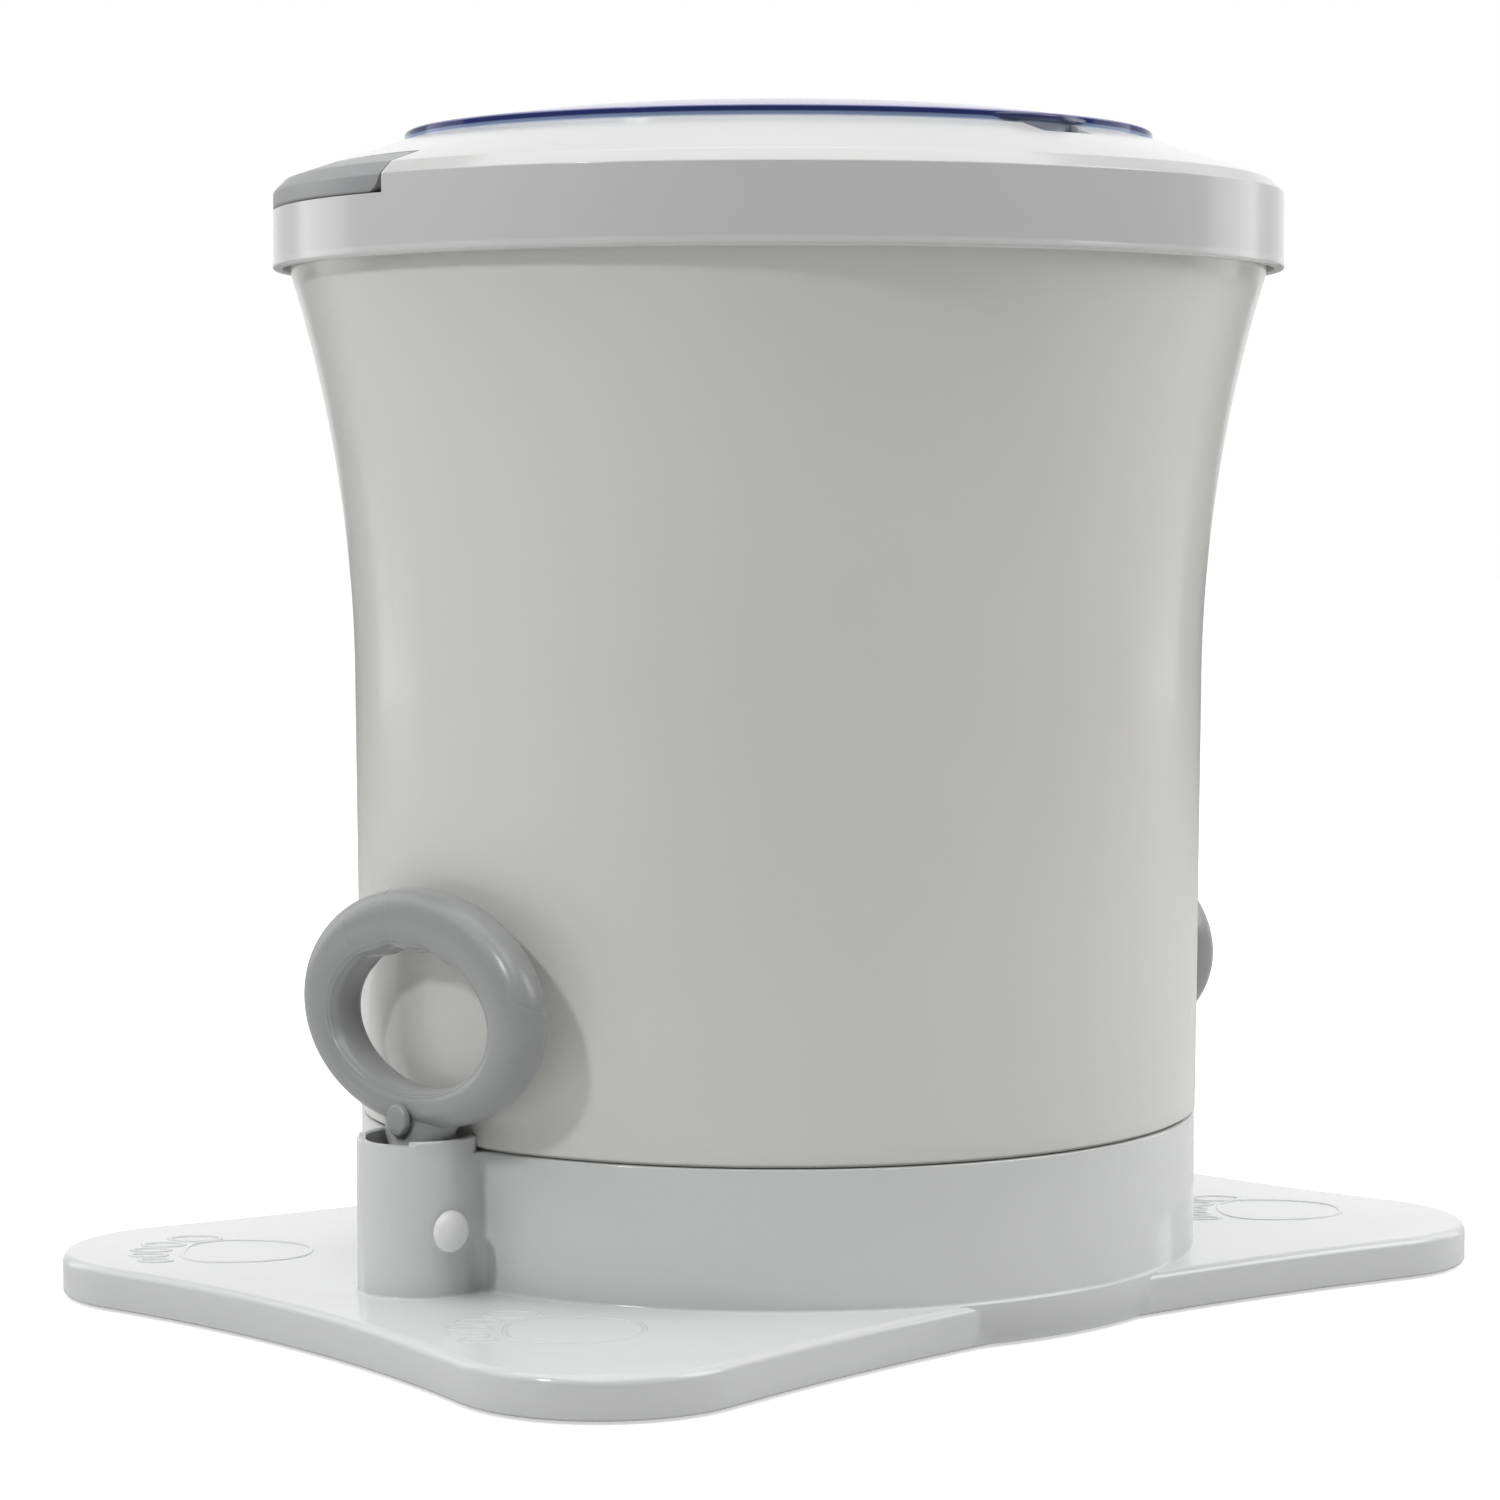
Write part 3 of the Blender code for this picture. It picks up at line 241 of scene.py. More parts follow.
def make_studio():
    """A big softbox overhead, a small key light on the left, and weak ones that wrap round the tub."""
    make_world()
    heart = (0, 0, 0.1)
    square = (1.2, 1.2)
    tall = (0.8, 1.4)
    add_softbox("overhead_softbox", (0.0, 0.1, 2.2), (0, 0, 0.2), (2.4, 2.4), 2.1)
    add_softbox("front_softbox", around(1.3, 0, 2.2), heart, (1.4, 1.0), 1.2)
    add_softbox("key_softbox", around(1.6, -45, 1.35), heart, (0.2, 0.2), 72)
    add_softbox("left_softbox", around(1.7, -85, 1.5), heart, square, 1.4)
    add_softbox("right_softbox", around(1.7, 85, 1.5), heart, square, 4.2)
    for name, degrees in (("left", -120), ("right", 120)):
        add_softbox(f"{name}_edge_softbox", around(1.8, degrees, 0.75), (0, 0, 0.2), tall, 1.3)
    bpy.context.scene.view_settings.view_transform = "Standard"
    bm = bmesh.new()
    bmesh.ops.create_grid(bm, x_segments=4, y_segments=4, size=FLOOR_SIZE)
    floor = add_mesh("floor", bm, floor_paint())


def floor_paint():
    """Pale vinyl, softly mottled, that shows as white as the lit sweep behind it."""
    material, nodes, links, shader = new_material("floor_vinyl")
    mottle = noise(nodes, links, 3.0, 2.0)
    pale = blend_colour(nodes, links, mottle, (0.62, 0.62, 0.62), (0.66, 0.66, 0.66), 0.2, 0.8)
    links.new(pale, shader.inputs["Base Color"])
    feed(shader, Roughness=0.9, Specular_IOR_Level=0.1)
    far = put(nodes, "VectorMath")
    far.operation = "LENGTH"
    links.new(put(nodes, "TexCoord").outputs["Object"], far.inputs[0])
    glow = put(nodes, "Emission")
    links.new(spread(nodes, links, far.outputs["Value"], 0.6, 1.02, 0.4, 1.6), glow.inputs["Strength"])
    both = put(nodes, "AddShader")
    links.new(shader.outputs["BSDF"], both.inputs[0])
    links.new(glow.outputs["Emission"], both.inputs[1])
    output = nodes["Material Output"].inputs["Surface"]
    camera_sees(nodes, links, shader.outputs["BSDF"], both.outputs["Shader"], output)
    return material


# ---------------------------------------------------------------- materials


def new_material(name):
    material = bpy.data.materials.new(name)
    material.use_nodes = True
    nodes = material.node_tree.nodes
    return material, nodes, material.node_tree.links, nodes["Principled BSDF"]


def feed(node, **values):
    """Sets a node's inputs; "_" stands for a space in an input's name."""
    for name, value in values.items():
        node.inputs[name.replace("_", " ")].default_value = value


def put(nodes, kind, **values):
    node = nodes.new("ShaderNode" + kind)
    feed(node, **values)
    return node


def noise(nodes, links, scale, detail, stretch=(1, 1, 1)):
    """Noise over the object's own coordinates; returns its value socket."""
    mapping = put(nodes, "Mapping", Scale=stretch)
    links.new(put(nodes, "TexCoord").outputs["Object"], mapping.inputs["Vector"])
    texture = put(nodes, "TexNoise", Scale=scale, Detail=detail)
    links.new(mapping.outputs["Vector"], texture.inputs["Vector"])
    return texture.outputs["Fac"]


def set_stops(ramp, stops):
    elements = ramp.color_ramp.elements
    while len(elements) > 1:
        elements.remove(elements[-1])
    elements[0].position = stops[0][0]
    elements[0].color = stops[0][1]
    for position, colour in stops[1:]:
        elements.new(position).color = colour


def blend_colour(nodes, links, factor, first, second, low=0.3, high=0.7):
    ramp = put(nodes, "ValToRGB")
    set_stops(ramp, [(low, (*first, 1)), (high, (*second, 1))])
    links.new(factor, ramp.inputs["Fac"])
    return ramp.outputs["Color"]


def spread(nodes, links, value, low, high, start=0.3, end=0.7):
    """Maps a value's range from start to end onto a new one; the defaults suit noise."""
    ranger = put(nodes, "MapRange", From_Min=start, From_Max=end, To_Min=low, To_Max=high)
    links.new(value, ranger.inputs["Value"])
    return ranger.outputs["Result"]


def bump(nodes, links, height, strength, distance, shader):
    node = put(nodes, "Bump", Strength=strength, Distance=distance)
    links.new(height, node.inputs["Height"])
    links.new(node.outputs["Normal"], shader.inputs["Normal"])


def plastic(name, colour, roughness, grain=0.02, coat=0.0):
    """Injection-moulded plastic: faint cloudy colour, uneven gloss and a slight orange peel."""
    material, nodes, links, shader = new_material(name)
    darker = tuple(c * 0.975 for c in colour)
    lighter = tuple(min(1, c * 1.015) for c in colour)
    cloud = noise(nodes, links, 7.0, 2.0)
    links.new(blend_colour(nodes, links, cloud, darker, lighter, 0.2, 0.8), shader.inputs["Base Color"])
    gloss = noise(nodes, links, 16.0, 2.0)
    links.new(spread(nodes, links, gloss, roughness - 0.015, roughness + 0.025), shader.inputs["Roughness"])
    peel = noise(nodes, links, 300.0, 0.0)
    bump(nodes, links, peel, grain, 0.2 * MM, shader)
    feed(shader, IOR=1.5, Coat_Weight=coat, Coat_Roughness=0.08)
    return material


def metal(name, colour, roughness, stretch):
    """Turned or drawn steel: fine lines along one direction."""
    material, nodes, links, shader = new_material(name)
    lines = noise(nodes, links, 60.0, 6.0, stretch)
    darker = tuple(c * 0.82 for c in colour)
    links.new(blend_colour(nodes, links, lines, darker, colour), shader.inputs["Base Color"])
    links.new(spread(nodes, links, lines, roughness, roughness + 0.15), shader.inputs["Roughness"])
    bump(nodes, links, lines, 0.15, 0.05 * MM, shader)
    feed(shader, Metallic=1.0)
    return material


def rubber_paint(name):
    material, nodes, links, shader = new_material(name)
    speck = noise(nodes, links, 400.0, 4.0)
    tint = blend_colour(nodes, links, speck, (0.035, 0.035, 0.038), (0.06, 0.06, 0.065))
    links.new(tint, shader.inputs["Base Color"])
    links.new(spread(nodes, links, speck, 0.62, 0.85), shader.inputs["Roughness"])
    bump(nodes, links, speck, 0.3, 0.1 * MM, shader)
    return material


def braid_paint(name):
    """Braided polyester: two sets of slanted strands that cross."""
    material, nodes, links, shader = new_material(name)
    place = put(nodes, "TexCoord").outputs["Object"]
    weave = put(nodes, "Math")
    weave.operation = "MULTIPLY"
    for i, lean in enumerate((0.9, -0.9)):
        mapping = put(nodes, "Mapping", Rotation=(lean, lean, 0))
        links.new(place, mapping.inputs["Vector"])
        wave = put(nodes, "TexWave", Scale=380, Distortion=0.6)
        links.new(mapping.outputs["Vector"], wave.inputs["Vector"])
        links.new(wave.outputs["Fac"], weave.inputs[i])
    strand = weave.outputs["Value"]
    tint = blend_colour(nodes, links, strand, (0.42, 0.41, 0.38), (0.78, 0.77, 0.73), 0.0, 0.8)
    links.new(tint, shader.inputs["Base Color"])
    bump(nodes, links, strand, 0.8, 0.3 * MM, shader)
    feed(shader, Roughness=0.8, Sheen_Weight=0.3)
    return material


def tinted_acrylic(name):
    """Blue acrylic coloured in bands by height: a pale band along the foot that is a painted highlight, a
    deep navy flank, and a see-through lilac dome whose colour is lightened by a painted reflection.
    """
    material, nodes, links, shader = new_material(name)
    parts = put(nodes, "SeparateXYZ")
    links.new(put(nodes, "TexCoord").outputs["Object"], parts.inputs["Vector"])
    height = spread(nodes, links, parts.outputs["Z"], 0, 1, 378 * MM, 388 * MM)
    # pale is a painted highlight: the bright line where the flange's foot catches the light
    pale = (0.70, 0.77, 0.90, 1)
    blue = (0.24, 0.32, 0.50, 1)
    navy = (0.028, 0.040, 0.150, 1)
    # the dome's lilac tint, lightened into a painted reflection of the bright surroundings along its grazing
    # top
    lilac_and_painted_reflection = (0.50, 0.48, 0.74, 1)
    bands = [(0.11, pale), (0.14, blue), (0.20, blue), (0.25, navy), (0.37, navy), (0.43, lilac_and_painted_reflection)]
    dull = (0.02, 0.02, 0.02, 1)
    see_through = (0.72, 0.72, 0.72, 1)
    clear = [(0.40, dull), (0.5, see_through)]
    for stops, socket in ((bands, "Base Color"), (clear, "Transmission Weight")):
        ramp = put(nodes, "ValToRGB")
        set_stops(ramp, stops)
        links.new(height, ramp.inputs["Fac"])
        links.new(ramp.outputs["Color"], shader.inputs[socket])
    smear = noise(nodes, links, 22.0, 4.0)
    links.new(spread(nodes, links, smear, 0.04, 0.08), shader.inputs["Roughness"])
    feed(shader, IOR=1.49, Specular_IOR_Level=0.15)
    return material


PAINTS = {
    "shell": plastic("shell_plastic", (0.74, 0.735, 0.71), 0.2),
    "rim": plastic("rim_plastic", (0.635, 0.64, 0.632), 0.18),
    "base": plastic("base_plastic", (0.735, 0.75, 0.742), 0.11),
    "cap": plastic("cap_plastic", (0.95, 0.955, 0.95), 0.12, 0.02, 0.3),
    "grey": plastic("grip_plastic", (0.345, 0.352, 0.352), 0.28, 0.03),
    "bail": plastic("bail_plastic", (0.315, 0.32, 0.325), 0.38, 0.03),
    "tab": plastic("tab_plastic", (0.045, 0.055, 0.15), 0.15),
    "basket": plastic("basket_plastic", (0.66, 0.67, 0.67), 0.33),
    "acetal": plastic("acetal", (0.80, 0.79, 0.74), 0.42),
    "steel": metal("turned_steel", (0.66, 0.67, 0.69), 0.22, (1, 1, 30)),
    "spring": metal("spring_steel", (0.36, 0.38, 0.42), 0.25, (1, 1, 12)),
    "rubber": rubber_paint("foot_rubber"),
    "braid": braid_paint("braided_cord"),
    "window": tinted_acrylic("blue_acrylic"),
}


# ---------------------------------------------------------------- mesh tools


def add_mesh(name, bm, material, sharp=30):
    bmesh.ops.recalc_face_normals(bm, faces=bm.faces)
    mesh = bpy.data.meshes.new(name)
    bm.to_mesh(mesh)
    bm.free()
    mesh.shade_smooth()
    mesh.set_sharp_from_angle(angle=math.radians(sharp))
    mesh.materials.append(material)
    obj = bpy.data.objects.new(name, mesh)
    bpy.context.scene.collection.objects.link(obj)
    return obj


def tool(bm):
    """A cutter or an addition for a Boolean, taken away once it is used."""
    return add_mesh("tool", bm, PAINTS["shell"])


def cut(bm):
    return ("DIFFERENCE", tool(bm))


def join(bm):
    return ("UNION", tool(bm))


def combine(obj, steps, sharp=30):
    """Runs Boolean steps (operation, tool) on an object and keeps the result."""
    for operation, other in steps:
        modifier = obj.modifiers.new("boolean", "BOOLEAN")
        modifier.operation = operation
        modifier.solver = "EXACT"
        modifier.object = other
    evaluated = obj.evaluated_get(bpy.context.evaluated_depsgraph_get())
    mesh = bpy.data.meshes.new_from_object(evaluated)
    obj.modifiers.clear()
    obj.data = mesh
    material = mesh.materials[0]
    mesh.materials.clear()
    mesh.materials.append(material)
    for _, other in steps:
        bpy.data.objects.remove(other)
    close_slits(mesh)
    mesh.shade_smooth()
    mesh.set_sharp_from_angle(angle=math.radians(sharp))
    return obj


def close_slits(mesh):
    """Fills the tiny open triangles that a Boolean can leave."""
    bm = bmesh.new()
    bm.from_mesh(mesh)
    edges = [edge for edge in bm.edges if edge.is_boundary]
    if edges:
        bmesh.ops.holes_fill(bm, edges=edges, sides=6)
        bm.to_mesh(mesh)
    bm.free()


def place_piece(obj, body, slot, *nodes):
    """Puts a finished piece on its body and hides the CAD nodes it stands in for. The slot argument is not
    used.
    """
    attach(obj, body)
    if nodes:
        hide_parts(*nodes)


def arc(centre, radius, first, last, count):
    steps = [math.radians(first + (last - first) * i / (count - 1)) for i in range(count)]
    return [(centre[0] + radius * math.cos(a), centre[1] + radius * math.sin(a)) for a in steps]


def circle(radius, count, centre=(0.0, 0.0)):
    steps = [TAU * (i + 0.5) / count for i in range(count)]
    return [(centre[0] + radius * math.cos(a), centre[1] + radius * math.sin(a)) for a in steps]


def rounded(corners, steps=5):
    """A closed outline whose corners (x, y, radius) become arcs. A corner with no radius stays sharp."""
    points = []
    for i, corner in enumerate(corners):
        here = Vector(corner[:2])
        if len(corner) < 3:
            points.append(tuple(here))
            continue
        before = Vector(corners[i - 1][:2]) - here
        after = Vector(corners[(i + 1) % len(corners)][:2]) - here
        half = before.angle(after) / 2
        reach = min(corner[2] / math.tan(half), 0.48 * before.length, 0.48 * after.length)
        radius = reach * math.tan(half)
        inward = (before.normalized() + after.normalized()).normalized()
        centre = here + inward * (radius / math.sin(half))
        start = here + before.normalized() * reach - centre
        end = here + after.normalized() * reach - centre
        turn = math.atan2(start.x * end.y - start.y * end.x, start.dot(end))
        for k in range(steps + 1):
            spoke = start.copy()
            spoke.rotate(Matrix.Rotation(turn * k / steps, 2))
            points.append(tuple(centre + spoke))
    return points


def loft(bm, rings, closed=False):
    count = len(rings[0])
    spans = len(rings) if closed else len(rings) - 1
    for i in range(spans):
        lower = rings[i]
        upper = rings[(i + 1) % len(rings)]
        for j in range(count):
            k = (j + 1) % count
            bm.faces.new((lower[j], lower[k], upper[k], upper[j]))
    if not closed:
        bm.faces.new(reversed(rings[0]))
        bm.faces.new(rings[-1])


def stacked(layers):
    """Outlines with equal point counts, stacked in Z."""
    bm = bmesh.new()
    loft(bm, [[bm.verts.new((x, y, z)) for x, y in outline] for outline, z in layers])
    return bm


def lathe(profile, segments=FINE, centre=(0.0, 0.0)):
    """A closed (radius, z) profile turned about an upright axis."""
    bm = bmesh.new()
    rings = []
    for i in range(segments):
        a = TAU * (i + 0.5) / segments
        ring = []
        for r, z in profile:
            ring.append(bm.verts.new((centre[0] + r * math.cos(a), centre[1] + r * math.sin(a), z)))
        rings.append(ring)
    loft(bm, rings, closed=True)
    return bm


def solid_lathe(profile, segments=SMOOTH, centre=(0.0, 0.0)):
    """Turns an open (radius, z) profile, bottom to top, into a solid with flat ends."""
    return stacked([(circle(r, segments, centre), z) for r, z in profile])


def cylinder(radius, bottom, top, segments=SMOOTH, centre=(0.0, 0.0)):
    return stacked([(circle(radius, segments, centre), z) for z in (bottom, top)])


def block(low, high):
    outline = [(low[0], low[1]), (high[0], low[1]), (high[0], high[1]), (low[0], high[1])]
    return stacked([(outline, low[2]), (outline, high[2])])


def side_block(sign, x_span, half_width, z_span):
    """A block across the X axis, on one side of the machine."""
    xs = sorted(sign * x for x in x_span)
    return block((xs[0], -half_width, z_span[0]), (xs[1], half_width, z_span[1]))


def soft_block(low, high, radius):
    """A block with rounded edges."""
    bm = block(low, high)
    bmesh.ops.bevel(bm, geom=bm.edges[:], offset=radius, segments=3, affect="EDGES", profile=0.5)
    return bm


def laid(bm, start, end):
    """Turns a shape made along +Z from the origin to lie from start towards end."""
    axis = Vector(end) - Vector(start)
    turn = axis.to_track_quat("Z", "Y").to_matrix().to_4x4()
    bm.transform(Matrix.Translation(Vector(start)) @ turn)
    return bm


def rod(radius, start, end, segments=SMOOTH):
    return laid(cylinder(radius, 0, (Vector(end) - Vector(start)).length, segments), start, end)


def polar(radius, degrees):
    return (radius * math.cos(math.radians(degrees)), radius * math.sin(math.radians(degrees)))


def mirrored(quarter):
    """A whole outline from its quarter between +X and +Y."""
    points = list(quarter)
    points += [(-x, y) for x, y in reversed(quarter[:-1])]
    points += [(-x, -y) for x, y in quarter[1:]]
    points += [(x, -y) for x, y in reversed(quarter[1:-1])]
    return points


# ---------------------------------------------------------------- pull cords


def cord_route(sign):
    """From the spool along the X axis, round the guide pulley and up through the stem."""
    runs = 24
    points = [(SPOOL_X + (PULLEY_X - SPOOL_X) * i / runs, CORD_Z) for i in range(runs)]
    points += arc((PULLEY_X, PULLEY_Z), PULLEY_WRAP_RADIUS, -90, 21, 16)
    points.append((157.3 * MM, 42.2 * MM))
    low, high = CORD_STRETCH
    rise = 60
    for i in range(rise + 1):
        share = i / rise
        points.append((STEM_X + 1.2 * MM * (1 - share), low + (high - low) * share))
    points += [(STEM_X, 50 * MM), (STEM_X, 53 * MM), (STEM_X, 57 * MM)]
    return [Vector((sign * x, 0, z)) for x, z in points]


def make_cord(name, sign):
    """A braided cord from the spool round the pulley and up into the stem. On the real machine it pays out of
    its sleeve as the ring is pulled; here it is built fixed where it rests.
    """
    route = cord_route(sign)
    bm = bmesh.new()
    rings = []
    sides = 14
    for i, point in enumerate(route):
        ahead = route[min(i + 1, len(route) - 1)] - route[max(i - 1, 0)]
        across = Vector((0, 1, 0))
        up = ahead.normalized().cross(across)
        ring = []
        for j in range(sides):
            a = TAU * j / sides
            offset = across * math.cos(a) + up * math.sin(a)
            ring.append(bm.verts.new(point + offset * CORD_RADIUS))
        rings.append(ring)
    loft(bm, rings)
    cord = add_mesh(f"pull_line_{name}", bm, PAINTS["braid"], 60)
    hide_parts(f"pull_cord_{name}")
    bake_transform(cord)


def make_winding(name, sign):
    """The turns of cord on the spool, wound in layers."""
    bm = bmesh.new()
    centre = Vector((sign * SPOOL_X, -sign * SPOOL_Y, 0))
    layers = 3
    sides = 8
    bottom = 23.4 * MM
    top = 33.6 * MM
    first_radius = 21.9 * MM
    layer_step = 1.75 * MM
    strand = 1.3 * MM
    turns = 4
    rings = []
    steps = 40
    for layer in range(layers):
        radius = first_radius + layer * layer_step
        for i in range(turns * steps):
            share = i / (turns * steps)
            height = bottom + (top - bottom) * (share if layer % 2 == 0 else 1 - share)
            a = TAU * (layer * turns + i / steps)
            out = Vector((math.cos(a), math.sin(a), 0))
            middle = centre + out * radius + Vector((0, 0, height))
            ring = []
            for j in range(sides):
                b = TAU * j / sides
                spoke = out * math.cos(b) + Vector((0, 0, math.sin(b)))
                ring.append(bm.verts.new(middle + spoke * strand))
            rings.append(ring)
    loft(bm, rings)
    winding = add_mesh(f"wound_cord_{name}", bm, PAINTS["braid"], 60)
    place_piece(winding, f"spool_{name}", "cord", f"cord_winding_{name}")


# ---------------------------------------------------------------- base


def side_arc_radius(waist, along, across):
    offset = waist - across
    return (along**2 + offset**2 - PLATE_CORNER_RADIUS**2) / (2 * (PLATE_CORNER_RADIUS - offset))


def plate_outline(inset=0.0):
    """The plate's edge: four round corners joined by four slightly hollow sides."""
    cx, cy = PLATE_CORNER
    hollow_x = side_arc_radius(PLATE_WAIST_X, cy, cx)
    hollow_y = side_arc_radius(PLATE_WAIST_Y, cx, cy)
    centre_x = (PLATE_WAIST_X + hollow_x, 0.0)
    centre_y = (0.0, PLATE_WAIST_Y + hollow_y)
    to_side = math.degrees(math.atan2(cy, centre_x[0] - cx))
    to_front = math.degrees(math.atan2(cx, centre_y[1] - cy))
    side = arc(centre_x, hollow_x + inset, 180, 180 - to_side, 16)[:-1]
    corner = arc((cx, cy), PLATE_CORNER_RADIUS - inset, -to_side, 90 + to_front, 44)
    back = arc(centre_y, hollow_y + inset, -90 + to_front, -90, 24)[1:]
    return mirrored(side + corner + back)


def wall_outline(grow=0.0):
    """Collar and both sleeves in one line, with hollow fillets where they meet."""
    reach = COLLAR_RADIUS + SLEEVE_FILLET
    span = SLEEVE_RADIUS + SLEEVE_FILLET
    x = (reach**2 - span**2 + SLEEVE_X**2) / (2 * SLEEVE_X)
    y = math.sqrt(reach**2 - x**2)
    on_collar = math.degrees(math.atan2(y, x))
    on_sleeve = math.degrees(math.atan2(y, x - SLEEVE_X))
    fillet = SLEEVE_FILLET - grow
    quarter = arc((SLEEVE_X, 0), SLEEVE_RADIUS + grow, 0, on_sleeve, 28)
    quarter += arc((x, y), fillet, on_sleeve - 180, on_collar - 180, 8)[1:]
    quarter += arc((0, 0), COLLAR_RADIUS + grow, on_collar, 90, 60)[1:]
    return mirrored(quarter)


def edge_steps(radius, count=6):
    """(inset, drop) pairs down a quarter-round edge, from its side up to its top."""
    steps = [math.radians(90 * i / count) for i in range(count + 1)]
    return [(radius * (1 - math.cos(a)), radius * (1 - math.sin(a))) for a in steps]


def plate_body():
    layers = [(plate_outline(0.5 * MM), PLATE_BOTTOM), (plate_outline(), PLATE_BOTTOM + 0.6 * MM)]
    for inset, drop in edge_steps(3.2 * MM, 8):
        layers.append((plate_outline(inset), PLATE_TOP - drop))
    return stacked(layers)


def wall_body():
    """The upright wall, swept out at its foot into the plate's top."""
    foot = 1.2 * MM
    layers = [(wall_outline(), PLATE_BOTTOM + 0.1 * MM), (wall_outline(), PLATE_BOTTOM + 3 * MM)]
    layers += [(wall_outline(foot), PLATE_BOTTOM + 6 * MM), (wall_outline(foot), PLATE_TOP - 0.3 * MM)]
    for inset, drop in reversed(edge_steps(foot)):
        layers.append((wall_outline(inset), PLATE_TOP + drop))
    for inset, drop in edge_steps(0.7 * MM, 4):
        layers.append((wall_outline(-inset), COLLAR_TOP - drop))
    return stacked(layers)


def sleeve_tube(sign):
    profile = [(SLEEVE_RADIUS, COLLAR_TOP - 4 * MM)]
    profile += [(SLEEVE_RADIUS - inset, SLEEVE_TOP - drop) for inset, drop in edge_steps(0.7 * MM, 4)]
    return solid_lathe(profile, 96, (sign * SLEEVE_X, 0))


def sleeve_cutters(sign):
    """The bore, the pulley axle's holes, the cord's way in and the lower outer part of the mouth."""
    centre = (sign * SLEEVE_X, 0.0)
    above = SLEEVE_TOP + PAST
    bevel = 0.6 * MM
    mouth = SLEEVE_BORE + bevel
    bore = [(SLEEVE_BORE, SLEEVE_FLOOR), (SLEEVE_BORE, SLEEVE_TOP - bevel)]
    bore += [(mouth, SLEEVE_TOP), (mouth, above)]
    reach = SLEEVE_RADIUS + PAST
    x = sign * PULLEY_X
    beyond = 30 * MM
    tools = [
        solid_lathe(bore, 96, centre),
        rod(AXLE_HOLE, (x, -reach, PULLEY_Z), (x, reach, PULLEY_Z), 24),
        side_block(sign, (130 * MM, 146 * MM), 3 * MM, (24 * MM, 33 * MM)),
        side_block(sign, (SLEEVE_X + LIP_STEP, SLEEVE_X + beyond), beyond, (SLEEVE_TOP - MOUTH_REST, above)),
    ]
    return [cut(bm) for bm in tools]


def make_base():
    base = add_mesh("base_shell", plate_body(), PAINTS["base"])
    steps = [cut(stacked([(plate_outline(WALL), z) for z in (-5 * MM, PLATE_TOP - WALL)]))]
    steps.append(join(wall_body()))
    steps += [join(sleeve_tube(sign)) for sign in SIDES.values()]
    inner = COLLAR_RADIUS - WALL
    steps.append(cut(cylinder(inner, -5 * MM, COLLAR_TOP + 20 * MM, FINE)))
    for angle in POST_ANGLES:
        centre = polar(POST_CIRCLE, angle)
        steps.append(join(cylinder(POST_RADIUS, 8 * MM, POST_TOP, 24, centre)))
        steps.append(cut(cylinder(SCREW_HOLE, 0, POST_TOP + 5 * MM, 16, centre)))
    for sign in SIDES.values():
        steps += sleeve_cutters(sign)
    clear = cylinder(TUB_BOTTOM_RADIUS + 0.6 * MM, COLLAR_TOP, SLEEVE_TOP + PAST, FINE)
    steps.append(cut(clear))
    gap = 0.3 * MM
    for sx, sy in CORNERS:
        centre = (sx * PLATE_CORNER[0], sy * PLATE_CORNER[1])
        boss = cylinder(FOOT_RADIUS + WALL, PLATE_BOTTOM, PLATE_TOP - 2 * MM, SMOOTH, centre)
        socket = cylinder(FOOT_RADIUS + gap, -5 * MM, FOOT_HEIGHT + gap, SMOOTH, centre)
        steps += [join(boss), cut(socket)]
    place_piece(combine(base, steps, 28), "base", "light_shell", "base_housing")


def ridge(bm, points, width, height, floor):
    """A low moulded ridge along a closed line."""
    section = [(-0.5, -0.3)]
    section += [(-0.5 * math.cos(math.pi * i / 8), math.sin(math.pi * i / 8)) for i in range(9)]
    section.append((0.5, -0.3))
    rings = []
    count = len(points)
    for i, point in enumerate(points):
        along = (points[(i + 1) % count] - points[i - 1]).normalized()
        side = Vector((-along.y, along.x))
        ring = []
        for across, up in section:
            place = point + side * (across * width)
            ring.append(bm.verts.new((place.x, place.y, floor + up * height)))
        rings.append(ring)
    loft(bm, rings, closed=True)


def sole_outline():
    """A plain rounded sole, a little narrower at the heel."""
    points = []
    for i in range(96):
        a = TAU * i / 96
        along = math.copysign(abs(math.cos(a)) ** 0.8, math.cos(a))
        across = math.copysign(abs(math.sin(a)) ** 0.8, math.sin(a))
        points.append((21 * MM * along, (4 + (19.5 - 3 * along) * across) * MM))
    return points


def toe_outlines():
    """Five toes, each an oval: its middle, its half length and its half width in millimetres."""
    ovals = [
        (-20, 27, 8.5, 5),
        (-29, 15.8, 6.8, 3.7),
        (-32, 6, 6.3, 3.3),
        (-31.5, -3.5, 5.8, 3.1),
        (-28, -12.8, 5.3, 2.8),
    ]
    steps = [TAU * i / 32 for i in range(32)]
    toes = []
    for x, y, length, width in ovals:
        toes.append([((x + length * math.cos(a)) * MM, (y + width * math.sin(a)) * MM) for a in steps])
    return toes


def make_foot_marks():
    """Raised footprint outlines that show where to stand, one on each lobe, all pointing the same way."""
    bm = bmesh.new()
    turn = Matrix.Rotation(math.radians(MARK_TURN), 2)
    for sx, sy in CORNERS:
        centre = Vector((sx * MARK_PLACE[0], sy * MARK_PLACE[1]))
        for outline in [sole_outline(), *toe_outlines()]:
            placed = [centre + turn @ Vector(point) for point in outline]
            ridge(bm, placed, *MARK_RIDGE, PLATE_TOP)
    marks = add_mesh("foot_marks", bm, PAINTS["base"], 60)
    place_piece(marks, "base", "light_shell")


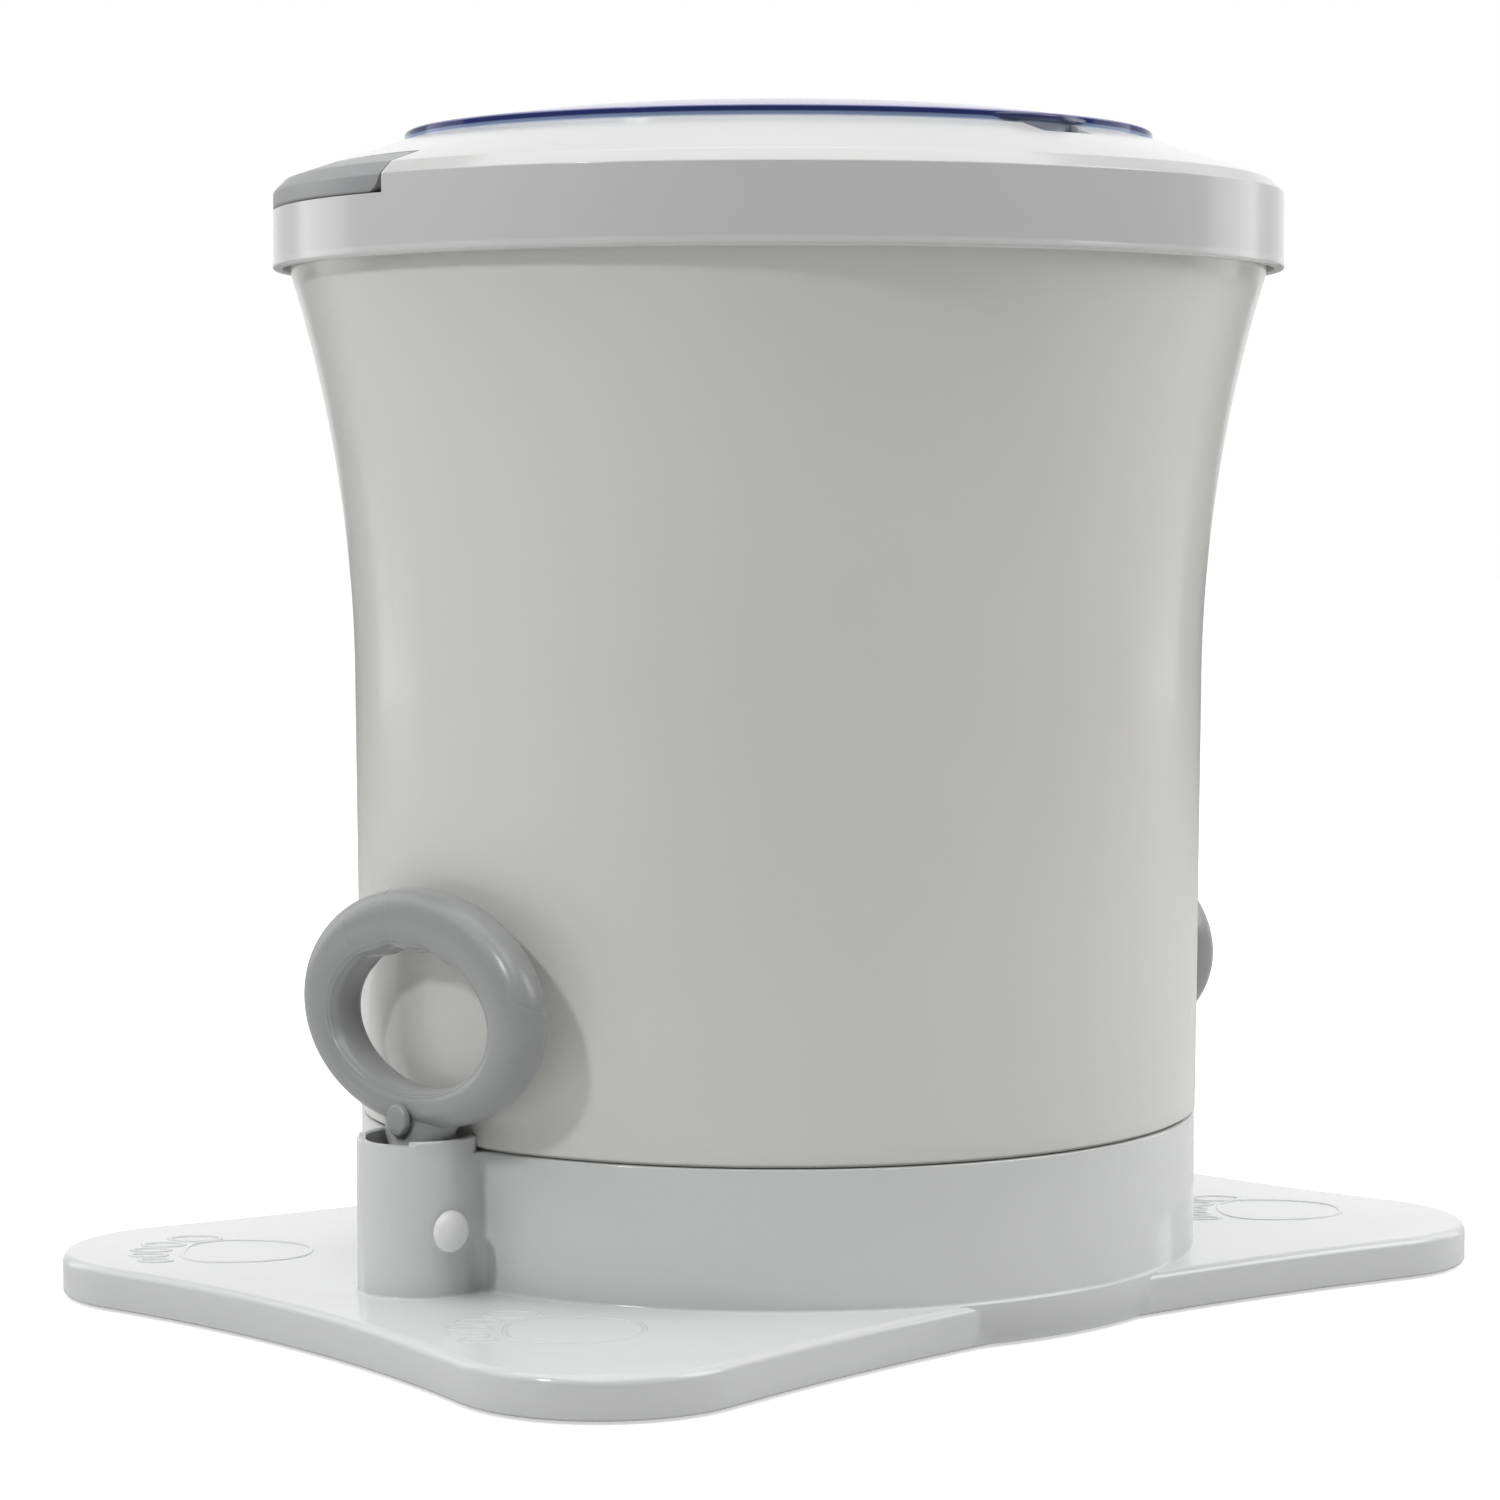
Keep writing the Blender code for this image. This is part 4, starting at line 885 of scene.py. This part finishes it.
def make_feet():
    """Rubber pads with a turned tread ring underneath."""
    r = FOOT_RADIUS
    corners = [
        (0.4 * MM, 0.5 * MM),
        (r - 5 * MM, 0.5 * MM, 0.3 * MM),
        (r - 4.4 * MM, 0.0, 0.3 * MM),
        (r - 0.6 * MM, 0.0, 0.5 * MM),
        (r, 1.2 * MM, 0.6 * MM),
        (r, FOOT_HEIGHT, 0.4 * MM),
        (0.4 * MM, FOOT_HEIGHT),
    ]
    profile = rounded(corners)
    for i, (sx, sy) in enumerate(CORNERS):
        centre = (sx * PLATE_CORNER[0], sy * PLATE_CORNER[1])
        foot = add_mesh(f"foot_pad_{i + 1}", lathe(profile, SMOOTH, centre), PAINTS["rubber"])
        place_piece(foot, "base", "rubber", f"rubber_foot_{i + 1}")


def make_axle_caps():
    """The pulley axle: a pin through the sleeve with a smooth domed head."""
    for name, sign in SIDES.items():
        pin = 1.9 * MM
        head = 6.6 * MM
        seat = 19.2 * MM
        dome = 4.4 * MM
        profile = [(pin - 0.3 * MM, -17.5 * MM), (pin, -17.2 * MM), (pin, seat - 0.4 * MM)]
        profile += [(head - 0.3 * MM, seat - 0.3 * MM), (head, seat)]
        for i in range(1, 15):
            a = math.radians(90 * i / 15)
            profile.append((head * math.cos(a), seat + dome * math.sin(a)))
        bm = solid_lathe(profile, 64)
        outward = Matrix.Rotation(-sign * math.pi / 2, 4, "X")
        bm.transform(Matrix.Translation((sign * PULLEY_X, 0, PULLEY_Z)) @ outward)
        cap = add_mesh(f"axle_cap_{name}", bm, PAINTS["cap"])
        place_piece(cap, "base", "light_shell", f"pulley_axle_{name}")


# ---------------------------------------------------------------- pull rings


def ring_surface(sign):
    """An oval grip, thicker on top, with finger grooves along the top of its hole.

    The inner band is flatter than the outer side, and a double parting line runs along its edges.
    """
    bm = bmesh.new()
    rings = []
    turns = 288
    sides = 72
    for i in range(turns):
        a = TAU * i / turns
        rim = Vector((0, RING_OUTLINE[0] * math.cos(a), RING_Z + RING_OUTLINE[1] * math.sin(a)))
        hole = Vector((0, HOLE_OUTLINE[0] * math.cos(a), HOLE_Z + HOLE_OUTLINE[1] * math.sin(a)))
        middle = (rim + hole) / 2 + Vector((sign * RING_X, 0, 0))
        outward = (rim - hole).normalized()
        half = (rim - hole).length / 2
        along = hole.y / (GROOVE_SHARE * HOLE_OUTLINE[0])
        reach = max(0.0, 1 - along**4) if math.sin(a) > 0 and abs(along) < 1 else 0.0
        groove = reach * (0.5 - 0.5 * math.cos(TAU * 2 * (along + 1)))
        section = []
        for j in range(sides):
            b = TAU * j / sides
            up = math.cos(b)
            side = math.sin(b)
            if up < 0:
                side = math.copysign(abs(side) ** 0.62, side)
            else:
                side = math.copysign(abs(side) ** 0.8, side)
                up = up**0.9
            from_inner = abs(j - sides // 2)
            line = PARTING_HEIGHT if from_inner in (8, 10) else 0.0
            thick = (half + line) * up + GROOVE_DEPTH * groove * max(0.0, -up) ** 2
            offset = Vector(((RING_HALF_DEPTH + line) * side, 0, 0)) + outward * thick
            section.append(bm.verts.new(middle + offset))
        rings.append(section)
    loft(bm, rings, closed=True)
    return bm


def stem_surface(sign):
    """The stem that stands in the sleeve, and the wide neck that flares into the ring's underside.

    Each step is an oval: its half depth, half width, distance from the axis and height in millimetres.
    """
    steps = [
        (5.0, 5.0, 155.0, 48.0),
        (5.5, 5.5, 155.0, 48.6),
        (6.0, 6.0, 155.0, 58.5),
        (6.6, 10.8, 152.8, 60.4),
        (7.2, 14.4, 151.4, 62.0),
        (7.4, 15.3, 150.8, 63.6),
        (7.3, 16.0, 150.4, 65.2),
        (7.1, 17.2, 150.0, 67.0),
        (6.9, 19.2, 149.8, 69.4),
        (6.6, 22.0, 149.6, 72.0),
    ]
    layers = []
    for rx, ry, x, z in steps:
        outline = [(sign * x * MM + px * rx * MM, py * ry * MM) for px, py in circle(1.0, 72)]
        layers.append((outline, z * MM))
    return stacked(layers)


def make_ring(name, sign):
    grip = add_mesh(f"finger_ring_{name}", ring_surface(sign), PAINTS["grey"], 40)
    face = sign * ANCHOR_FACE
    bore = cylinder(2 * MM, STEM_BOTTOM - 5 * MM, STEM_BORE_TOP, 24, (sign * STEM_X, 0))
    hole = rod(3.3 * MM, (sign * 175 * MM, 0, ANCHOR_Z), (sign * 151 * MM, 0, ANCHOR_Z), 32)
    steps = [join(stem_surface(sign)), cut(bore), cut(hole)]
    place_piece(combine(grip, steps, 40), f"handle_{name}", "grey_grip", f"pull_ring_{name}")
    shank = 3.0 * MM
    bevel = 0.4 * MM
    profile = [(shank, -6.6 * MM), (shank, 0.0), (ANCHOR_RADIUS - bevel, 0.0), (ANCHOR_RADIUS, bevel)]
    profile += [(ANCHOR_RADIUS - inset, ANCHOR_THICKNESS - drop) for inset, drop in edge_steps(1.0 * MM, 8)]
    profile.append((1.5 * MM, ANCHOR_THICKNESS + 0.12 * MM))
    bm = laid(solid_lathe(profile, 64), (face, 0, ANCHOR_Z), (face + sign * MM, 0, ANCHOR_Z))
    plug = add_mesh(f"cord_plug_{name}", bm, PAINTS["grey"])
    place_piece(plug, f"handle_{name}", "grey_grip", f"cord_anchor_{name}")


# ---------------------------------------------------------------- tub, basket and drain


def tub_side(inset, z):
    if z <= TUB_WAIST_Z:
        share = (z - TUB_BOTTOM) / (TUB_WAIST_Z - TUB_BOTTOM)
        return TUB_BOTTOM_RADIUS + (TUB_WAIST_RADIUS - TUB_BOTTOM_RADIUS) * share - inset
    rise = z - TUB_WAIST_Z
    flare = TUB_FLARE_RADIUS - math.sqrt(TUB_FLARE_RADIUS**2 - rise**2)
    return min(TUB_WAIST_RADIUS + flare, TUB_BRIM_RADIUS) - inset


def make_tub():
    edge = 0.8 * MM
    levels = 64
    rise = TUB_TOP - edge - (TUB_BOTTOM + edge)
    heights = [TUB_BOTTOM + edge + rise * i / levels for i in range(levels + 1)]
    recess = TUB_BOTTOM_RADIUS - SEAM_DEPTH
    profile = [(recess, TUB_BOTTOM), (recess, TUB_BOTTOM + SEAM_GAP)]
    foot = reversed(edge_steps(0.3 * MM, 3))
    profile += [(TUB_BOTTOM_RADIUS - inset, TUB_BOTTOM + SEAM_GAP + drop) for inset, drop in foot]
    profile += [(tub_side(0.0, z), z) for z in heights[1:-1]]
    profile += [(tub_side(0.0, TUB_TOP) - inset, TUB_TOP - drop) for inset, drop in edge_steps(edge, 4)]
    profile += [(tub_side(TUB_WALL, z), z) for z in reversed([TUB_FLOOR + 9 * MM, *heights[6:], TUB_TOP])]
    inner_foot = TUB_BOTTOM_RADIUS - TUB_WALL
    lower = [
        (inner_foot, TUB_FLOOR + WALL, 5 * MM),
        (16 * MM, TUB_FLOOR + WALL, 3 * MM),
        (16 * MM, 84 * MM, 1 * MM),
        (5.5 * MM, 84 * MM, 0.4 * MM),
        (5.5 * MM, 81.8 * MM),
        (10 * MM, 81.8 * MM),
        (10 * MM, TUB_FLOOR),
        (133.2 * MM, TUB_FLOOR),
        (133.2 * MM, 54.2 * MM),
        (136 * MM, 54.2 * MM),
        (136 * MM, TUB_FLOOR - 0.2 * MM),
        (inner_foot, TUB_FLOOR - 0.2 * MM),
        (inner_foot, TUB_BOTTOM),
    ]
    profile = rounded(profile + lower)
    tub = add_mesh("tub_shell", lathe(profile), PAINTS["shell"])
    steps = []
    for angle in POST_ANGLES:
        centre = polar(POST_CIRCLE, angle)
        steps.append(join(cylinder(5.2 * MM, 53.6 * MM, 63 * MM, 24, centre)))
        steps.append(cut(cylinder(SCREW_HOLE, 48 * MM, 60 * MM, 16, centre)))
    hole = rod(8.4 * MM, (0, 128 * MM, DRAIN_Z), (0, 150 * MM, DRAIN_Z), 48)
    steps.append(cut(hole))
    place_piece(combine(tub, steps), "base", "light_shell", "outer_tub")


def basket_profile():
    r = BASKET_RADIUS
    w = BASKET_WALL
    corners = [
        (12.5 * MM, BASKET_BOTTOM, 0.4 * MM),
        (r, BASKET_BOTTOM, 8 * MM),
        (r, BASKET_TOP, 6 * MM),
        (r - 12 * MM, BASKET_TOP, 0.9 * MM),
        (r - 12 * MM, BASKET_TOP - w, 0.9 * MM),
        (r - w, BASKET_TOP - w, 4 * MM),
        (r - w, BASKET_BOTTOM + w, 6 * MM),
        (12.5 * MM, BASKET_BOTTOM + w, 0.4 * MM),
    ]
    return rounded(corners, 7)


def slot_tool(radius, height, length, width, angle):
    """An upright slot with round ends, cut through the basket's wall."""
    half = length / 2 - width / 2
    outline = arc((0, half), width / 2, 0, 180, 8) + arc((0, -half), width / 2, 180, 360, 8)
    bm = stacked([(outline, -8 * MM), (outline, 8 * MM)])
    stand = Matrix.Rotation(math.pi / 2, 4, "Z") @ Matrix.Rotation(math.pi / 2, 4, "X")
    bm.transform(Matrix.Rotation(angle, 4, "Z") @ Matrix.Translation((radius, 0, height)) @ stand)
    return bm


def joined(parts):
    """Several closed shapes in one bmesh."""
    whole = bmesh.new()
    for part in parts:
        mesh = bpy.data.meshes.new("part")
        part.to_mesh(mesh)
        part.free()
        whole.from_mesh(mesh)
        bpy.data.meshes.remove(mesh)
    return whole


def make_basket():
    """The inner basket: slotted wall, drained floor and a rolled lip."""
    basket = add_mesh("slotted_basket", lathe(basket_profile()), PAINTS["basket"])
    slots = []
    columns = 36
    for row in range(4):
        height = BASKET_BOTTOM + (row + 0.62) * (BASKET_TOP - BASKET_BOTTOM) / 4.2
        for i in range(columns):
            angle = TAU * (i + 0.5 * (row % 2)) / columns
            slots.append(slot_tool(BASKET_RADIUS - 1 * MM, height, 36 * MM, 4.5 * MM, angle))
    for distance, count in ((60, 18), (78, 24), (96, 30)):
        for i in range(count):
            centre = polar(distance * MM, 360 * i / count)
            slots.append(cylinder(2.6 * MM, BASKET_BOTTOM - 5 * MM, BASKET_BOTTOM + 6 * MM, 14, centre))
    combine(basket, [cut(joined(slots))])
    place_piece(basket, "rotor", "basket_plastic", "spin_basket")


def make_basket_knob():
    """A lobed knob that holds the basket on its shaft."""
    profile = [(15.4, 96.3), (16.0, 96.9), (16.0, 102.5), (15.0, 105.0), (12.5, 106.7), (9.5, 107.2)]
    layers = []
    for radius, height in profile:
        outline = []
        for i in range(120):
            a = TAU * i / 120
            lobe = 1 - 0.075 * (0.5 - 0.5 * math.cos(6 * a)) ** 2
            outline.append((radius * MM * lobe * math.cos(a), radius * MM * lobe * math.sin(a)))
        layers.append((outline, height * MM))
    knob = add_mesh("basket_knob", stacked(layers), PAINTS["grey"], 40)
    combine(knob, [cut(cylinder(4.3 * MM, 90 * MM, 112 * MM, 32))], 40)
    place_piece(knob, "rotor", "grey_grip", "basket_nut")


def make_drain():
    """The spout and its plug, at the back of the tub's floor."""
    turn = Matrix.Translation((0, 0, DRAIN_Z)) @ Matrix.Rotation(-math.pi / 2, 4, "X")
    corners = [
        (5.5 * MM, 135 * MM),
        (8 * MM, 135 * MM, 0.5 * MM),
        (8 * MM, 141.6 * MM),
        (13 * MM, 141.6 * MM, 0.4 * MM),
        (13 * MM, 143.6 * MM, 0.8 * MM),
        (8 * MM, 143.6 * MM, 1.2 * MM),
        (8 * MM, 158 * MM, 0.9 * MM),
        (5.5 * MM, 158 * MM, 0.5 * MM),
    ]
    spout = lathe(rounded(corners), 64)
    spout.transform(turn)
    place_piece(add_mesh("drain_nozzle", spout, PAINTS["shell"]), "base", "light_shell", "drain_spout")
    profile = [(4.8 * MM, 144 * MM), (5.2 * MM, 146 * MM), (5.2 * MM, 158.2 * MM)]
    profile += [(9.1 * MM, 158.3 * MM), (9.5 * MM, 158.7 * MM)]
    profile += [(9.5 * MM - inset, 161.5 * MM - drop) for inset, drop in edge_steps(1.2 * MM, 5)]
    plug = solid_lathe(profile, 64)
    plug.transform(turn)
    grip = soft_block((-1.5 * MM, -6 * MM, 160 * MM), (1.5 * MM, 6 * MM, 166.5 * MM), 0.9 * MM)
    grip.transform(turn)
    obj = add_mesh("drain_stopper", plug, PAINTS["grey"])
    combine(obj, [join(grip)])
    place_piece(obj, "plug", "grey_grip", "drain_plug")


# ---------------------------------------------------------------- rim, bail and window


def cone_z(radius, drop=0.0):
    slope = (RIM_MOUTH[1] - CHAMFER[1]) / (CHAMFER[0] - RIM_MOUTH[0])
    return CHAMFER[1] + (CHAMFER[0] - radius) * slope - drop


def back_half(front):
    """Everything behind a line, at the rim's height."""
    return block((-FAR, front, FAR), (FAR, FAR, 0.5))


def pivot_hole(sign, outer):
    """The hole for one of the bail's pins."""
    ends = [(sign * x, BAIL_PIVOT_Y, BAIL_PIVOT_Z) for x in (140 * MM, outer)]
    return cut(rod(PIN_HOLE, *ends, 24))


def make_rim():
    skin = RIM_RADIUS - WALL
    inner = RECESS_RADIUS - WALL
    mouth = WINDOW_RADIUS + 0.5 * MM
    ledge = 117 * MM
    flare = 0.6 * MM
    corners = [
        (skin, RIM_BOTTOM, 0.5 * MM),
        (RIM_RADIUS + flare, RIM_BOTTOM, 1.0 * MM),
        (RIM_RADIUS, RIM_BOTTOM + 2.8 * MM, 4 * MM),
        (RIM_RADIUS, SHOULDER_Z, 0.8 * MM),
        (*CHAMFER, 1.2 * MM),
        (*RIM_MOUTH, 0.8 * MM),
        (mouth, RIM_MOUTH[1], 0.3 * MM),
        (mouth, WINDOW_SEAT, 0.3 * MM),
        (ledge, WINDOW_SEAT, 0.6 * MM),
        (ledge, WINDOW_SEAT - 2.4 * MM, 0.6 * MM),
        (mouth + WALL, WINDOW_SEAT - 2.4 * MM, 2 * MM),
        (inner, cone_z(inner, WALL + 0.5 * MM), 2 * MM),
        (inner, RECESS_FLOOR - WALL),
        (skin, RECESS_FLOOR - WALL, 1 * MM),
    ]
    profile = rounded(corners)
    rim = add_mesh("rim_shell", lathe(profile), PAINTS["rim"])
    above = 0.4
    corners = [
        (RECESS_RADIUS, RECESS_FLOOR, 0.5 * MM),
        (RIM_RADIUS + PAST, RECESS_FLOOR),
        (RIM_RADIUS + PAST, above),
        (RECESS_RADIUS, above),
    ]
    recess = rounded(corners)
    groove = combine(tool(lathe(recess)), [("INTERSECT", tool(back_half(RECESS_FRONT)))])
    steps = [("DIFFERENCE", groove)]
    for sign in SIDES.values():
        steps.append(pivot_hole(sign, 158 * MM))
        xs = sorted((sign * 11.5 * MM, sign * 20 * MM))
        low = (xs[0], 125.2 * MM, 376 * MM)
        lug = soft_block(low, (xs[1], HINGE_Y + 3 * MM, HINGE_Z + 2.8 * MM), 1.6 * MM)
        steps.append(join(lug))
    steps.append(cut(hinge_rod(PIN_HOLE, 25 * MM, 24)))
    scallop = soft_block((-11 * MM, -136 * MM, 375.2 * MM), (11 * MM, -123 * MM, 400 * MM), 1.0 * MM)
    steps.append(cut(scallop))
    place_piece(combine(rim, steps), "rim", "light_shell", "rim_ring")


def make_bail():
    """The bail: a half ring whose top carries on the rim's slope, with round ends on its pivots."""
    inner = RECESS_RADIUS + 0.6 * MM
    bottom = RECESS_FLOOR + 0.3 * MM
    corners = [
        (inner, bottom, 0.8 * MM),
        (RIM_RADIUS, bottom, 1.0 * MM),
        (RIM_RADIUS, SHOULDER_Z, 2.0 * MM),
        (*CHAMFER, 2.0 * MM),
        (inner, cone_z(inner), 0.7 * MM),
    ]
    section = rounded(corners, 6)
    bail = add_mesh("bail_grip", lathe(section), PAINTS["bail"])
    axis = (BAIL_PIVOT_Y, BAIL_PIVOT_Z)
    noses = rod(BAIL_NOSE, (-0.2, *axis), (0.2, *axis), 96)
    steps = [("INTERSECT", combine(tool(back_half(BAIL_PIVOT_Y)), [join(noses)]))]
    steps += [pivot_hole(sign, 157.3 * MM) for sign in SIDES.values()]
    place_piece(combine(bail, steps), "bail", "grey_grip", "carry_bail")


def hinge_rod(radius, half_length, segments):
    return rod(radius, (-half_length, HINGE_Y, HINGE_Z), (half_length, HINGE_Y, HINGE_Z), segments)


def tab_outline(inset):
    """A crescent that grows out of the window's edge, on the front side."""
    steps = 40
    outer = []
    inner = []
    for i in range(steps + 1):
        share = 2 * i / steps - 1
        turn = -90 + TAB_SPREAD * share
        reach = WINDOW_RADIUS + TAB_REACH * math.cos(math.pi / 2 * share) ** 1.5
        outer.append(polar(reach - inset, turn))
        inner.append(polar(WINDOW_RADIUS - 3 * MM, turn))
    return outer + inner[::-1]


def make_window():
    """The tinted dome in its thick flange, with a hinge knuckle behind and a finger tab in front."""
    r = WINDOW_RADIUS
    foot = WINDOW_SEAT + 1.5 * MM
    corners = [
        (r - 5 * MM, foot, 0.4 * MM),
        (r, foot, 0.5 * MM),
        (r, 382.3 * MM, 0.9 * MM),
        (92 * MM, 386.9 * MM, 60 * MM),
        (45 * MM, 388.5 * MM, 60 * MM),
        (2 * MM, 388.9 * MM),
        (2 * MM, 386.3 * MM),
        (45 * MM, 386.0 * MM, 60 * MM),
        (90 * MM, 384.4 * MM, 60 * MM),
        (r - 5 * MM, 380.4 * MM, 2 * MM),
    ]
    profile = rounded(corners, 8)
    window = add_mesh("window_dome", lathe(profile), PAINTS["window"])
    lug = soft_block((-10.7 * MM, 120.5 * MM, 379.2 * MM), (10.7 * MM, HINGE_Y, HINGE_Z + 2.4 * MM), 0.9 * MM)
    steps = [
        join(cylinder(6 * MM, 386.5 * MM, 388.7 * MM, 64)),
        join(lug),
        join(hinge_rod(3.1 * MM, 11 * MM, 48)),
        cut(hinge_rod(PIN_HOLE, 13 * MM, 24)),
    ]
    place_piece(combine(window, steps), "window", "window_tint", "window_lid")
    bevel = 0.5 * MM
    low = TAB_TOP - TAB_THICKNESS
    layers = [(tab_outline(bevel), low), (tab_outline(0.0), low + bevel)]
    layers += [(tab_outline(inset), TAB_TOP - drop) for inset, drop in edge_steps(0.8 * MM)]
    place_piece(add_mesh("finger_tab", stacked(layers), PAINTS["tab"]), "window", "window_tint")


# ---------------------------------------------------------------- the nodes that stay


def repaint_nodes():
    """Gives each CAD node that stays its material."""
    sided = {
        "grey": ["cord_spool", "cord_guide"],
        "acetal": ["spool_gear", "guide_pulley", "spring_cup"],
        "steel": ["spool_axle", "one_way_clutch", "bail_pin"],
        "spring": ["recoil_spring"],
    }
    paints = {
        "gear_deck": "acetal",
        "drive_pinion": "acetal",
        "basket_hub": "acetal",
        "bottom_cover": "base",
        "drive_shaft": "steel",
        "shaft_bearing_lower": "steel",
        "shaft_bearing_upper": "steel",
        "hinge_pin": "steel",
        "shaft_seal": "rubber",
        "brim_seal": "rubber",
        "window_seal": "rubber",
    }
    for paint, names in sided.items():
        for name in names:
            for side in SIDES:
                paints[f"{name}_{side}"] = paint
    for i in range(1, 5):
        paints[f"clamp_screw_{i}"] = "steel"
    for name, paint in paints.items():
        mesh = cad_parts[name].data
        mesh.materials.clear()
        mesh.materials.append(PAINTS[paint])


def main():
    make_camera()
    for name, sign in SIDES.items():
        make_cord(name, sign)
        make_winding(name, sign)
    make_studio()
    make_base()
    make_foot_marks()
    make_feet()
    make_axle_caps()
    for name, sign in SIDES.items():
        make_ring(name, sign)
    make_tub()
    make_basket()
    make_basket_knob()
    make_drain()
    make_rim()
    make_bail()
    make_window()
    repaint_nodes()


main()
